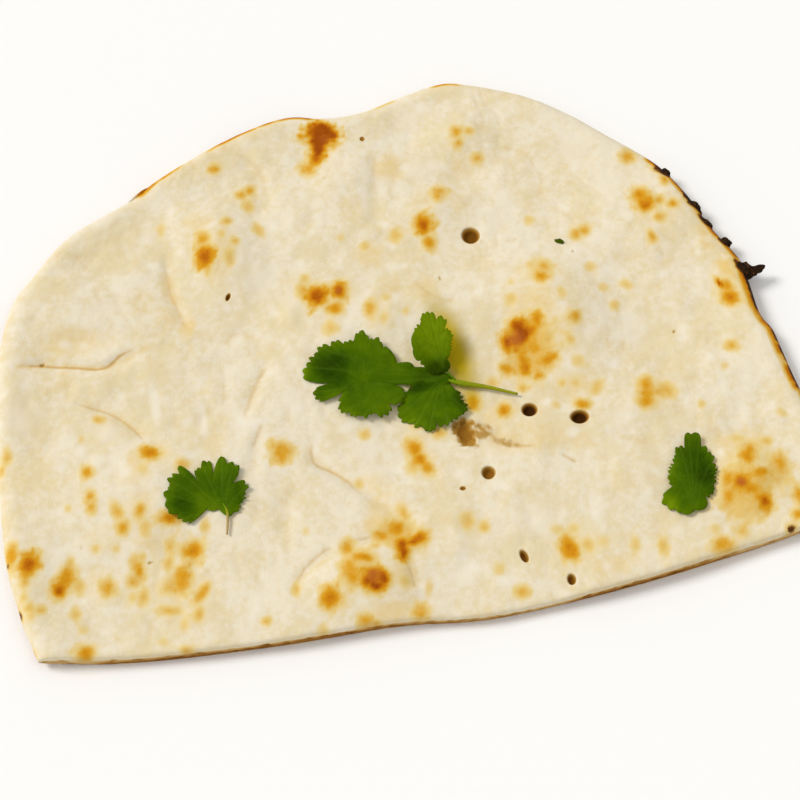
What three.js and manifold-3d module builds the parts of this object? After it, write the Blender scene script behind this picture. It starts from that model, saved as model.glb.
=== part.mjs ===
// Half of a tandoor naan, cut straight across, with three pieces of fresh coriander lying on it.
//
// Millimetres, +Z up. The bread lies on the plane Z = 0 with its centre over the origin.
// +X runs along the cut edge, and +Y runs from the cut edge to the middle of the rounded rim.

import * as THREE from "three";
import { mergeVertices } from "three/addons/utils/BufferGeometryUtils.js";
import Module from "manifold-3d";

const wasm = await Module();
wasm.setup();

// ---------------------------------------------------------------- driving dimensions

// The rim in plan, from the left corner of the cut round the back to the right corner.
const RIM = [
  [-99.8, -70], [-102.6, -58], [-104.6, -44], [-104.7, -34], [-103.6, -12], [-102.3, 4],
  [-99.8, 19], [-95.6, 31], [-89, 39], [-77.5, 50], [-58.5, 59], [-53, 63], [-41, 69],
  [-27, 74.5], [-13, 77.4], [-3, 75.3], [7.5, 75], [19, 78], [31.8, 80.4], [40, 78.4],
  [52, 72.8], [64, 64], [74.2, 53.4], [84.6, 42.2], [90.8, 30], [94.6, 18], [99.2, 7],
  [99.8, -1], [99.9, -11], [101.7, -16], [102.2, -20], [103.1, -31], [104.7, -46], [104, -58],
  [100.5, -72.2],
];

// The cut edge, from the right corner back to the left corner. The knife drifted outwards.
const CUT = [
  [100.5, -72.2], [76, -75.5], [45, -79], [12, -80.4], [-12, -77.7], [-42, -76.8], [-76, -74], [-99.8, -70],
];

const BREAD = {
  heart: [0, -8],       // the outline's rings shrink towards this point
  thickness: 4.8,       // dough between the blisters
  rimEdge: 3,           // height of the rim's outermost line
  rimWall: 1.2,         // upright part of the rim, below that line
  topRoll: 4.5,         // width over which the top rolls down to the rim
  underRoll: 3,         // the same for the underside
  cutRoll: 0.6,         // the knife's edge is nearly square
  lift: 1.2,            // the rim curls up this much off the plate
  liftWidth: 16,
};

// The underside rests on a few flat places, and bows up a little between them.
const FEET = {
  places: [[-72, -60], [74, -60], [52, 42], [-50, 38]],
  radius: 13,
  bow: 0.6,
  bowWidth: 20,
};

// Blisters and low places: centre x and y, half width, half length, turn in degrees, height.
const BLISTERS = [
  [-39, 40, 15, 26, 8, 2.4], [1, 55, 15, 14, 0, 1.3], [33, 61, 15, 13, 0, 1.7],
  [23, 38, 13, 12, 0, 1.1], [47, 2, 19, 29, 16, 2.9], [-18, -65, 19, 14, 0, 2.6],
  [84, -56, 14, 14, 0, 2.3], [-74, -34, 30, 24, 0, 1.3], [-14, 8, 26, 22, 20, 1],
  [58, -50, 22, 15, 0, 1.1], [76, 26, 17, 20, -30, 1.2], [-80, 28, 16, 13, 40, 0.9],
  [32, 47, 10, 7, 0, -0.9], [-77, 15, 17, 7, 0, -0.9], [14, -20, 16, 12, 0, -0.6],
  [70, -14, 14, 16, 0, -0.7], [-50, -8, 14, 15, 0, -0.6], [-57, 52, 9, 12, 40, -0.8],
];

// Creases: width, depth, and the line that each one follows.
const CREASES = [
  [2, 0.9, [[-96, 11], [-89, 11], [-73, 7], [-61, 11]]],
  [2, 0.63, [[-80, -2], [-72, -8], [-66, -15], [-60, -22]]],
  [2.2, 0.49, [[-52, 42], [-53, 25], [-49, 13]]],
  [2.2, 0.42, [[-29, 66], [-24, 58], [-24, 45]]],
  [2.4, 0.42, [[8, 60], [5, 34]]],
  [2, 0.42, [[-30, 3], [-40, -15]]],
  [2, 0.49, [[-36, -18], [-40, -29], [-43, -33]]],
  [2, 0.42, [[-33, -39], [-36, -51]]],
  [2, 0.7, [[-26, -26], [-22, -33], [-14, -40], [-9, -47], [0, -56]]],
  [2, 0.63, [[-35, -67], [-34, -63], [-28, -59], [-20, -57], [-10, -55], [-2, -57]]],
  [2, 0.49, [[-5, -59], [-6, -71]]],
  [2, 0.42, [[-88, -62], [-78, -71]]],
  [3, -0.56, [[9, -49], [5, -65]]],
  [3, -0.49, [[85, -40], [98, -43]]],
];

// The slow waviness of the whole sheet: wavelength, heading in degrees, height, phase.
const SWELLS = [[74, 25, 0.35, 0.4], [47, 110, 0.25, 2.1], [31, 62, 0.16, 4], [23, 155, 0.12, 1.3]];

// Holes of the docking roller: centre x and y, half width, half length, turn in degrees.
const DOCKING_HOLES = [
  [29.5, 28.3, 2.5, 2.6, 0], [32.7, -27.5, 2.1, 2, 0], [44.9, -32.1, 2.5, 2, 0],
  [18.4, -42.8, 1.8, 1.9, 0], [32.1, -75.4, 1.1, 1.5, 0], [22, -67, 1, 1.8, 14],
];
// A blister that burst, and left an open pit of the same kind.
const BURST_PIT = [14.7, -30.6, 2.1, 3.7, 12];
const PIT = { floor: 1.3, taper: 0.72, sides: 10, mouthAbove: 3 };

// Charred crags that stand out of the rim: centre, half sizes, turn in degrees.
const CRAGS = [
  [[86.4, 37.6, 4], [2.4, 1.7, 1.5], -50], [[91.4, 25.8, 4], [3.8, 1.4, 1.5], -68],
  [[93.2, 19.2, 3.8], [1.8, 1.3, 1.3], -60], [[97, 12.2, 3.8], [2, 1.7, 1.5], -40],
  [[99.2, 2.4, 4], [3.4, 2.4, 2], -60], [[102.2, 1.2, 4.2], [2.3, 1.3, 1.2], 10],
];
const CRAG = { roughness: 0.28, cornerStep: 2.4, lumpStep: 1.7 };

const LEAF = { thickness: 0.5, marginThickness: 0.34, clearance: 0.75, spineWidth: 5, lobeBluntness: 3 };

// Each leaf blade: its middle, its reach between the lobes, the lobes as [heading, reach, half width] in
// degrees and millimetres, the heading of its spine, how far the halves beside the spine and the spine
// itself are raised, its slope (rise for each millimetre of x and y), and how far all of it is raised.
const LEFT_BLADE = {
  middle: [-51.7, -37.5],
  inner: 2.4,
  lobes: [
    [-42, 6.2, 20], [-20, 7.5, 24], [0, 8.7, 20], [18, 10, 20], [52, 12, 20], [68, 12.8, 14],
    [90, 11.9, 14], [104, 10.2, 13], [123, 13.1, 11], [139, 13.1, 16], [160, 12.5, 18], [176, 11.9, 22],
    [196, 9.9, 18], [208, 9.1, 14],
  ],
  spineHeading: 80, halves: 0.7, spine: 0, slope: [0, 0], base: 0,
};
const RIGHT_BLADE = {
  middle: [68.4, -54.6],
  inner: 5.6,
  lobes: [
    [-140, 10.9, 22], [-118, 10.8, 22], [-92, 9.5, 20], [-60, 7.2, 22], [-20, 6.4, 28], [15, 7.2, 24],
    [40, 8.6, 18], [54, 9.6, 12], [73, 12.5, 16], [98, 8.8, 14], [112, 7, 16], [146, 6.2, 24],
    [184, 6.3, 22],
  ],
  spineHeading: 80, halves: 0, spine: 0.9, slope: [0, 0.03], base: 0.2,
};
const SPRIG_LEFT_BLADE = {
  middle: [-8.7, -10.7],
  inner: 5,
  lobes: [
    [-90, 10.6, 62], [75, 11.8, 92], [-127, 10.9, 13], [-108, 11.1, 13], [-92, 11.5, 13],
    [-68, 12.9, 18], [-38, 13, 20], [-11, 24, 8], [-6, 18.5, 11], [0, 14.6, 17], [58, 13, 13],
    [77, 14.3, 12], [112, 13.3, 14], [129, 14.6, 15], [146, 14.9, 17], [158, 15.4, 16], [190, 12.9, 17],
  ],
  spineHeading: 170, halves: 1, spine: 0, slope: [0.02, 0], base: 0.4,
};
const SPRIG_UPPER_BLADE = {
  middle: [12.1, -6.4],
  inner: 4.6,
  lobes: [
    [-150, 6.6, 30], [-105, 7.2, 34], [-78, 7, 20], [25, 5.4, 22], [64, 7.3, 18], [94, 8.2, 22],
    [122, 6.5, 26], [164, 6.2, 34],
  ],
  spineHeading: 85, halves: 0.8, spine: 0, slope: [-0.08, 0.42], base: 4.4,
};
const SPRIG_LOWER_BLADE = {
  middle: [8.7, -21.2],
  inner: 6.2,
  lobes: [
    [-172, 9.9, 24], [-143, 8.2, 15], [-112, 8.1, 16], [-72, 7.6, 22], [-44, 8, 15], [-22, 9, 18],
    [2, 7.9, 22], [36, 6.9, 28], [135, 7.6, 34], [162, 8.7, 22],
  ],
  spineHeading: -60, halves: 0, spine: 0.9, slope: [0.03, 0.03], base: 0.5,
};

// Stalks: radius, and the points that each one runs through as [x, y, height above the bread].
const SPRIG_STEM = {
  radius: 0.55,
  path: [[11, -13, 1.7], [17.4, -16.8, 1.9], [23.2, -19.4, 1.5], [30.6, -23, 1.1]],
};
const SPRIG_RISER = { radius: 0.5, path: [[16.4, -16.4, 1.9], [14.6, -13.4, 2.2], [13.2, -10.6, 2.7]] };
const LEFT_STALK = { radius: 0.42, path: [[-49.4, -38.6, 1.2], [-48.4, -41.4, 1.1], [-49.5, -47.4, 0.9]] };

const MESH = {
  cutSteps: 58,         // points along the cut edge on the outer rings
  rimSteps: 100,        // points along the rim on the outer rings
  ringStep: 3.7,        // spacing of the rings over the open face
  underSpacing: 3,      // the flat underside is this many times coarser
  stalkSides: 6,
  curveSamples: 140,
};
// Rings of the bread, by their distance in from the outline where it lies one BREAD_RADIUS from the heart.
const BREAD_RADIUS = 90;
const TOP_EDGE_INSETS = [0, 0.4, 1.2, 2.6, 4.8];
const UNDERSIDE_INSETS = [0, 0.7, 2, 4, 10, 18];
// Rings of a leaf blade: how far out each one lies, and its number of points.
const BLADE_RINGS = [[0.42, 36], [0.8, 72], [1, 72]];
const MERGE_DISTANCE = 1e-4;

// ---------------------------------------------------------------- small helpers

const radians = (degrees) => THREE.MathUtils.degToRad(degrees);
const clamp01 = (value) => Math.min(Math.max(value, 0), 1);
const smooth = (value) => clamp01(value) ** 2 * (3 - 2 * clamp01(value));
const quarterRound = (value) => Math.sqrt(1 - (1 - clamp01(value)) ** 2);
const mix = (a, b, share) => a + (b - a) * share;

function curveThrough(points) {
  return new THREE.SplineCurve(points.map(([x, y]) => new THREE.Vector2(x, y)));
}

function distanceToLine(x, y, line) {
  let nearest = Infinity;
  for (let i = 1; i < line.length; i++) {
    const [ax, ay] = line[i - 1];
    const [bx, by] = line[i];
    const dx = bx - ax;
    const dy = by - ay;
    const along = clamp01(((x - ax) * dx + (y - ay) * dy) / (dx * dx + dy * dy));
    nearest = Math.min(nearest, Math.hypot(x - ax - dx * along, y - ay - dy * along));
  }
  return nearest;
}

// How far a blade reaches in one direction: its longest lobe there, with blunt tips and sharp notches.
function reachAt({ inner, lobes }, degrees) {
  const reaches = lobes.map(([heading, reach, halfWidth]) => {
    const turn = ((((degrees - heading) % 360) + 540) % 360) - 180;
    const fromTip = clamp01(Math.abs(turn) / halfWidth);
    return inner + (reach - inner) * Math.sqrt(1 - fromTip ** LEAF.lobeBluntness);
  });
  return Math.max(...reaches);
}

// ---------------------------------------------------------------- closed skins made of rings

// Joins two neighbouring rings by a band of triangles, whatever their numbers of points.
function zipRings(inner, outer, triangles) {
  let i = 0;
  let j = 0;
  while (i < inner.count || j < outer.count) {
    const innerIsBehind = (i + 1) / inner.count <= (j + 1) / outer.count;
    const p = inner.start + (i % inner.count);
    const q = outer.start + (j % outer.count);
    if (j >= outer.count || (i < inner.count && innerIsBehind)) {
      if (inner.count > 1) {
        triangles.push(p, q, inner.start + ((i + 1) % inner.count));
      }
      i += 1;
    } else {
      if (outer.count > 1) {
        triangles.push(p, q, outer.start + ((j + 1) % outer.count));
      }
      j += 1;
    }
  }
}

// A closed skin through a row of rings. The first and the last ring are single points.
function skin(rings) {
  const positions = [];
  const triangles = [];
  let previous = null;
  for (const ring of rings) {
    const current = { start: positions.length / 3, count: ring.length };
    ring.forEach((point) => positions.push(...point));
    if (previous) {
      zipRings(previous, current, triangles);
    }
    previous = current;
  }
  const geometry = new THREE.BufferGeometry();
  geometry.setAttribute("position", new THREE.Float32BufferAttribute(positions, 3));
  geometry.setIndex(triangles);
  return geometry;
}

// ---------------------------------------------------------------- solids to join and cut

function toSolid(geometry) {
  const bare = geometry.clone();
  bare.deleteAttribute("normal");
  bare.deleteAttribute("uv");
  const merged = mergeVertices(bare, MERGE_DISTANCE);
  return new wasm.Manifold(new wasm.Mesh({
    numProp: 3,
    vertProperties: new Float32Array(merged.attributes.position.array),
    triVerts: new Uint32Array(merged.index.array),
  }));
}

function toGeometry(solid) {
  const mesh = solid.getMesh();
  const geometry = new THREE.BufferGeometry();
  geometry.setAttribute("position", new THREE.BufferAttribute(mesh.vertProperties, 3));
  geometry.setIndex(new THREE.BufferAttribute(mesh.triVerts, 1));
  geometry.computeVertexNormals();
  return geometry;
}

// ---------------------------------------------------------------- the shape of the bread

const rimCurve = curveThrough(RIM);
const cutCurve = curveThrough(CUT);
const rimLine = rimCurve.getSpacedPoints(MESH.curveSamples).map((p) => [p.x, p.y]);
const cutLine = cutCurve.getSpacedPoints(MESH.curveSamples).map((p) => [p.x, p.y]);

function blisterHeight(x, y, [cx, cy, halfWidth, halfLength, turn, height]) {
  const c = Math.cos(radians(turn));
  const s = Math.sin(radians(turn));
  const u = ((x - cx) * c + (y - cy) * s) / halfWidth;
  const v = ((y - cy) * c - (x - cx) * s) / halfLength;
  return height * smooth(1 - Math.hypot(u, v));
}

function creaseDepth(x, y, [width, depth, line]) {
  return depth * Math.exp(-((distanceToLine(x, y, line) / width) ** 2));
}

function swellHeight(x, y, [wavelength, heading, height, phase]) {
  const along = x * Math.cos(radians(heading)) + y * Math.sin(radians(heading));
  return height * Math.sin((2 * Math.PI * along) / wavelength + phase);
}

function reliefAt(x, y) {
  let height = 0;
  for (const blister of BLISTERS) {
    height += blisterHeight(x, y, blister);
  }
  for (const crease of CREASES) {
    height -= creaseDepth(x, y, crease);
  }
  for (const swell of SWELLS) {
    height += swellHeight(x, y, swell);
  }
  return height;
}

function rimLift(toRim) {
  return BREAD.lift * (1 - smooth(toRim / BREAD.liftWidth));
}

function topAt(x, y) {
  const toRim = distanceToLine(x, y, rimLine);
  const toCut = distanceToLine(x, y, cutLine);
  const plain = BREAD.thickness + reliefAt(x, y) + rimLift(toRim);
  const rolled = mix(BREAD.rimEdge, plain, quarterRound(toRim / BREAD.topRoll));
  return rolled - BREAD.cutRoll * (1 - quarterRound(toCut / BREAD.cutRoll));
}

function undersideBow(x, y) {
  const toFoot = Math.min(...FEET.places.map(([footX, footY]) => Math.hypot(x - footX, y - footY)));
  return FEET.bow * clamp01((toFoot - FEET.radius) / FEET.bowWidth);
}

function undersideAt(x, y) {
  const toRim = distanceToLine(x, y, rimLine);
  const edge = BREAD.rimEdge - BREAD.rimWall;
  return mix(edge, rimLift(toRim), quarterRound(toRim / BREAD.underRoll)) + undersideBow(x, y);
}

// The outline as a ring of points: first along the cut edge, then round the rim.
function outlinePoint(turn) {
  const cutShare = MESH.cutSteps / (MESH.cutSteps + MESH.rimSteps);
  if (turn < cutShare) {
    return cutCurve.getPointAt(1 - turn / cutShare);
  }
  return rimCurve.getPointAt(1 - (turn - cutShare) / (1 - cutShare));
}

function breadRing(inset, steps, heightAt) {
  const [hx, hy] = BREAD.heart;
  return Array.from({ length: steps }, (_, i) => {
    const edge = outlinePoint(i / steps);
    const scale = 1 - inset / BREAD_RADIUS;
    const x = mix(hx, edge.x, scale);
    const y = mix(hy, edge.y, scale);
    return [x, y, heightAt(x, y)];
  });
}

function openFaceInsets(first) {
  const rings = Math.round((BREAD_RADIUS - first) / MESH.ringStep);
  const step = (BREAD_RADIUS - first) / rings;
  return Array.from({ length: rings - 1 }, (_, i) => first + step * (i + 1));
}

function stepsAt(inset, coarseness) {
  const full = MESH.cutSteps + MESH.rimSteps;
  return Math.max(6, Math.round((full * (1 - inset / BREAD_RADIUS)) / coarseness));
}

function breadSlab() {
  const full = MESH.cutSteps + MESH.rimSteps;
  const [hx, hy] = BREAD.heart;
  const openFace = openFaceInsets(TOP_EDGE_INSETS.at(-1)).reverse();
  const underside = openFaceInsets(UNDERSIDE_INSETS.at(-1)).filter((_, i) => i % MESH.underSpacing === 2);
  return skin([
    [[hx, hy, topAt(hx, hy)]],
    ...openFace.map((inset) => breadRing(inset, stepsAt(inset, 1), topAt)),
    ...TOP_EDGE_INSETS.slice().reverse().map((inset) => breadRing(inset, full, topAt)),
    ...UNDERSIDE_INSETS.map((inset) => breadRing(inset, full, undersideAt)),
    ...underside.map((inset) => breadRing(inset, stepsAt(inset, MESH.underSpacing), undersideAt)),
    [[hx, hy, undersideAt(hx, hy)]],
  ]);
}

// A tapering pit, open at the top, which is cut out of the bread.
function pitCutter([x, y, halfWidth, halfLength, turn]) {
  const top = topAt(x, y) + PIT.mouthAbove;
  const profile = [[0, PIT.floor], [PIT.taper, PIT.floor], [1, top], [0, top]];
  const geometry = new THREE.LatheGeometry(profile.map(([r, z]) => new THREE.Vector2(r, z)), PIT.sides);
  geometry.rotateX(Math.PI / 2);
  geometry.scale(halfWidth, halfLength, 1);
  geometry.rotateZ(radians(turn));
  geometry.translate(x, y, 0);
  return toSolid(geometry);
}

// A burnt lump: a ball whose corners are pushed in and out by a fixed rule.
function crag([[x, y, z], [halfLength, halfWidth, halfHeight], turn], number) {
  const geometry = mergeVertices(bareBall(), MERGE_DISTANCE);
  const position = geometry.attributes.position;
  for (let i = 0; i < position.count; i++) {
    const push = 1 + CRAG.roughness * Math.sin(i * CRAG.cornerStep + number * CRAG.lumpStep);
    position.setXYZ(i, position.getX(i) * push, position.getY(i) * push, position.getZ(i) * push);
  }
  geometry.scale(halfLength, halfWidth, halfHeight);
  geometry.rotateZ(radians(turn));
  geometry.translate(x, y, z);
  return toSolid(geometry);
}

function bareBall() {
  const geometry = new THREE.IcosahedronGeometry(1, 1);
  geometry.deleteAttribute("normal");
  geometry.deleteAttribute("uv");
  return geometry;
}

function naanHalf() {
  let solid = toSolid(breadSlab());
  CRAGS.forEach((shape, number) => {
    solid = solid.add(crag(shape, number));
  });
  for (const hole of [...DOCKING_HOLES, BURST_PIT]) {
    solid = solid.subtract(pitCutter(hole));
  }
  return toGeometry(solid);
}

// ---------------------------------------------------------------- the coriander

function bladeMiddle(blade, x, y) {
  const [mx, my] = blade.middle;
  const heading = radians(blade.spineHeading);
  const across = (y - my) * Math.cos(heading) - (x - mx) * Math.sin(heading);
  const onSpine = Math.exp(-((across / LEAF.spineWidth) ** 2));
  const fold = mix(blade.halves, blade.spine, onSpine);
  const slope = (x - mx) * blade.slope[0] + (y - my) * blade.slope[1];
  return topAt(x, y) + LEAF.clearance + blade.base + fold + slope;
}

function bladeRing(blade, [scale, points], side) {
  const half = (side * mix(LEAF.thickness, LEAF.marginThickness, scale)) / 2;
  return Array.from({ length: points }, (_, i) => {
    const degrees = (360 * i) / points;
    const reach = scale * reachAt(blade, degrees);
    const x = blade.middle[0] + reach * Math.cos(radians(degrees));
    const y = blade.middle[1] + reach * Math.sin(radians(degrees));
    return [x, y, bladeMiddle(blade, x, y) + half];
  });
}

function bladeSolid(blade) {
  const [mx, my] = blade.middle;
  const middle = bladeMiddle(blade, mx, my);
  return toSolid(skin([
    [[mx, my, middle + LEAF.thickness / 2]],
    ...BLADE_RINGS.map((ring) => bladeRing(blade, ring, 1)),
    ...BLADE_RINGS.slice().reverse().map((ring) => bladeRing(blade, ring, -1)),
    [[mx, my, middle - LEAF.thickness / 2]],
  ]));
}

function stalkSolid({ radius, path }) {
  const points = path.map(([x, y, above]) => new THREE.Vector3(x, y, topAt(x, y) + above));
  const section = new THREE.Shape(
    Array.from({ length: MESH.stalkSides }, (_, i) => {
      const angle = (2 * Math.PI * i) / MESH.stalkSides;
      return new THREE.Vector2(radius * Math.cos(angle), radius * Math.sin(angle));
    }),
  );
  const geometry = new THREE.ExtrudeGeometry(section, {
    steps: 2 * path.length,
    extrudePath: new THREE.CatmullRomCurve3(points),
  });
  return toSolid(geometry);
}

function corianderSprig() {
  return toGeometry(bladeSolid(SPRIG_LEFT_BLADE)
    .add(bladeSolid(SPRIG_LOWER_BLADE))
    .add(bladeSolid(SPRIG_UPPER_BLADE))
    .add(stalkSolid(SPRIG_STEM))
    .add(stalkSolid(SPRIG_RISER)));
}

function corianderLeafLeft() {
  return toGeometry(bladeSolid(LEFT_BLADE).add(stalkSolid(LEFT_STALK)));
}

function corianderLeafRight() {
  return toGeometry(bladeSolid(RIGHT_BLADE));
}

// ---------------------------------------------------------------- materials and assembly

const crust = new THREE.MeshStandardMaterial({ color: 0xe8dfc6, roughness: 0.8, metalness: 0 });
const herb = () => new THREE.MeshStandardMaterial({ color: 0x3f6a0a, roughness: 0.55, metalness: 0 });

function named(name, geometry, material) {
  const mesh = new THREE.Mesh(geometry, material);
  mesh.name = name;
  return mesh;
}

const group = new THREE.Group();
group.add(named("naan_half", naanHalf(), crust));
group.add(named("coriander_sprig", corianderSprig(), herb()));
group.add(named("coriander_leaf_left", corianderLeafLeft(), herb()));
group.add(named("coriander_leaf_right", corianderLeafRight(), herb()));

export default group;
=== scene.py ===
# %% [markdown]
# # Half a naan with coriander
#
# A naan is a flat, leavened bread that is slapped on the wall of a clay oven. Bubbles rise in the
# dough and toast first, so its face is pale cream with golden and brown spots, and thin places on
# its rim char. This one was cut in half and dressed with a sprig and two leaves of coriander.
#
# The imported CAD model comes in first. Everything made here lies where its solids lie.

import math
import random

import bmesh
import bpy
import numpy as np
from mathutils import Matrix, Vector, noise


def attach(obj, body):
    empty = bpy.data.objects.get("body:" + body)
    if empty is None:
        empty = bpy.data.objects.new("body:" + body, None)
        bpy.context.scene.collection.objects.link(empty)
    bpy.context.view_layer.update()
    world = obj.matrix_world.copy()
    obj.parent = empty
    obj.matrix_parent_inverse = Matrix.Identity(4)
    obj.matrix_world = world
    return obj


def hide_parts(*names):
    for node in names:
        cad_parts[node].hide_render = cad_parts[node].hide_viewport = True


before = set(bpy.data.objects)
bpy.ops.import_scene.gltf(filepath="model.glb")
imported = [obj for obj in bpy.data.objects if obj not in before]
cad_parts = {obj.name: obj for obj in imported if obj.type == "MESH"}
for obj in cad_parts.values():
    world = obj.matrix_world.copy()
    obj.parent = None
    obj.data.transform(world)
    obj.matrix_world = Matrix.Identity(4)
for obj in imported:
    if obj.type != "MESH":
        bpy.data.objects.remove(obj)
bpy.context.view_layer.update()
print("CAD nodes:", sorted(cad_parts))

# %% [markdown]
# ## Camera
#
# A camera is an object whose lens looks along its own -Z. It stands above the near, cut edge of the
# bread, a little to the left, and looks down at the plate as someone at the table does. A long lens
# keeps the near and the far rim almost equally large.

# %% Camera
MM = 0.001
CAMERA_TURN = -11.5
CAMERA_HEIGHT = 62
CAMERA_DISTANCE = 491.1
CAMERA_LENS = 85
CAMERA_TARGET = Vector((0.523, -17.511, 4))
FRAME, SENSOR = 800, 36


def direction(turn, height):
    """The unit vector from the bread to something that stands at this turn and this angle above it."""
    turn, height = math.radians(turn), math.radians(height)
    level = math.cos(height)
    return Vector((math.sin(turn) * level, -math.cos(turn) * level, math.sin(height)))


def aimed(name, data, turn, height, distance):
    """Stands a camera or a lamp off the bread and points it at the middle of the dish."""
    thing = bpy.data.objects.new(name, data)
    bpy.context.collection.objects.link(thing)
    away = direction(turn, height)
    thing.location = (CAMERA_TARGET + away * distance) * MM
    thing.rotation_euler = (-away).to_track_quat("-Z", "Y").to_euler()
    return thing


def seen_at(across, down, height):
    """The place at this height that shows at this pixel of the frame, counted from its top left corner."""
    ahead = -direction(CAMERA_TURN, CAMERA_HEIGHT)
    right = ahead.cross(Vector((0, 0, 1))).normalized()
    reach = CAMERA_LENS / SENSOR * FRAME
    ray = ahead + (right * (across - FRAME / 2) - right.cross(ahead) * (down - FRAME / 2)) / reach
    start = CAMERA_TARGET - ahead * CAMERA_DISTANCE
    return start + ray * ((height - start.z) / ray.z)


lens = bpy.data.cameras.new("camera")
lens.sensor_width = SENSOR
lens.lens = CAMERA_LENS
lens.clip_start = 0.01
camera = aimed("camera", lens, CAMERA_TURN, CAMERA_HEIGHT, CAMERA_DISTANCE)
bpy.context.scene.camera = camera
print("camera at", [round(c, 3) for c in camera.location])

# %% [markdown]
# ## The outline of the dough
#
# Dough has no straight lines. The baked rim and the knife cut are two smooth curves through a few
# places, all in millimetres, as in the CAD source. A Catmull-Rom spline goes through every place it
# is given, and evenly spaced points on it serve both as the edge of the mesh and as a ruler: how far
# a place lies from the rim decides how round and how thick the dough is there.

# %% Rim and cut
RIM = [(-99.8, -70), (-102.6, -58), (-104.6, -44), (-104.7, -34), (-103.6, -12), (-102.3, 4),
       (-99.8, 19), (-95.6, 31), (-89, 39), (-77.5, 50), (-58.5, 59), (-53, 63), (-41, 69),
       (-27, 74.5), (-13, 77.4), (-3, 75.3), (7.5, 75), (19, 78), (31.8, 80.4), (40, 78.4),
       (52, 72.8), (64, 64), (74.2, 53.4), (84.6, 42.2), (90.8, 30), (94.6, 18), (99.2, 7),
       (99.8, -1), (99.9, -11), (101.7, -16), (102.2, -20), (103.1, -31), (104.7, -46), (104, -58),
       (100.5, -72.2)]
CUT = [(100.5, -72.2), (76, -75.5), (45, -79), (12, -80.4), (-12, -77.7), (-42, -76.8), (-76, -74),
       (-99.8, -70)]
LINE_STEPS = 600
STEPS_BETWEEN_PLACES = 60


def curve_through(places, steps=LINE_STEPS):
    """Evenly spaced points on the smooth curve through the places, its ends included."""
    p = np.array(places, float)
    p = np.vstack([p[:1], p, p[-1:]])
    t = np.linspace(0, len(places) - 1, STEPS_BETWEEN_PLACES * len(places))
    i = np.minimum(t.astype(int), len(places) - 2)
    s = (t - i)[:, None]
    before, start, end, after = p[i], p[i + 1], p[i + 2], p[i + 3]
    leave, arrive = (end - before) / 2, (after - start) / 2
    line = ((2 * start - 2 * end + leave + arrive) * s**3
            + (3 * end - 3 * start - 2 * leave - arrive) * s**2 + leave * s + start)
    length = np.concatenate([[0], np.cumsum(np.linalg.norm(np.diff(line, axis=0), axis=1))])
    even = np.linspace(0, length[-1], steps + 1)
    return np.stack([np.interp(even, length, line[:, k]) for k in range(p.shape[1])], axis=1)


def to_line(x, y, line):
    """For each place, how far it is from a line, and how far along the line its nearest point is (0-1)."""
    best = np.full(len(x), np.inf)
    share = np.zeros(len(x))
    pieces = len(line) - 1
    for i, (a, b) in enumerate(zip(line[:-1], line[1:])):
        run = b - a
        t = np.clip(((x - a[0]) * run[0] + (y - a[1]) * run[1]) / max(run @ run, 1e-9), 0, 1)
        gap = np.hypot(x - a[0] - t * run[0], y - a[1] - t * run[1])
        nearer = gap < best
        best = np.where(nearer, gap, best)
        share = np.where(nearer, (i + t) / pieces, share)
    return best, share


rim_line = curve_through(RIM)
cut_line = curve_through(CUT)
print("rim", round(float(np.linalg.norm(np.diff(rim_line, axis=0), axis=1).sum())), "mm,",
      "cut", round(float(np.linalg.norm(np.diff(cut_line, axis=0), axis=1).sum())), "mm")

# %% [markdown]
# ## The relief of the dough
#
# Under the spots lie low blisters, dents and folds. Each is a small formula of where a place is, so
# the same bread can be made with a few thousand triangles in CAD or with many here. The first part
# repeats the CAD source's relief: blisters and dents, creases, long swells, a lifted rim that rolls
# over to a thin edge, and a knife cut with a barely rounded arris.

# %% Relief shared with the CAD model
THICKNESS, RIM_EDGE, RIM_WALL, TOP_ROLL, UNDER_ROLL, CUT_ROLL = 4.8, 3, 1.2, 4.5, 3, 0.6
LIFT, LIFT_WIDTH = 1.2, 16
# the underside rests on a few flat places, and bows up a little between them
FEET, FOOT_RADIUS, BOW, BOW_WIDTH = [(-72, -60), (74, -60), (52, 42), (-50, 38)], 13, 0.6, 20
# middle x, y, half width, half length, turn in degrees, height
BLISTERS = [(-39, 40, 15, 26, 8, 2.4), (1, 55, 15, 14, 0, 1.3), (33, 61, 15, 13, 0, 1.7),
            (23, 38, 13, 12, 0, 1.1), (47, 2, 19, 29, 16, 2.9), (-18, -65, 19, 14, 0, 2.6),
            (84, -56, 14, 14, 0, 2.3), (-74, -34, 30, 24, 0, 1.3), (-14, 8, 26, 22, 20, 1),
            (58, -50, 22, 15, 0, 1.1), (76, 26, 17, 20, -30, 1.2), (-80, 28, 16, 13, 40, 0.9),
            (32, 47, 10, 7, 0, -0.9), (-77, 15, 17, 7, 0, -0.9), (14, -20, 16, 12, 0, -0.6),
            (70, -14, 14, 16, 0, -0.7), (-50, -8, 14, 15, 0, -0.6), (-57, 52, 9, 12, 40, -0.8)]
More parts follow.
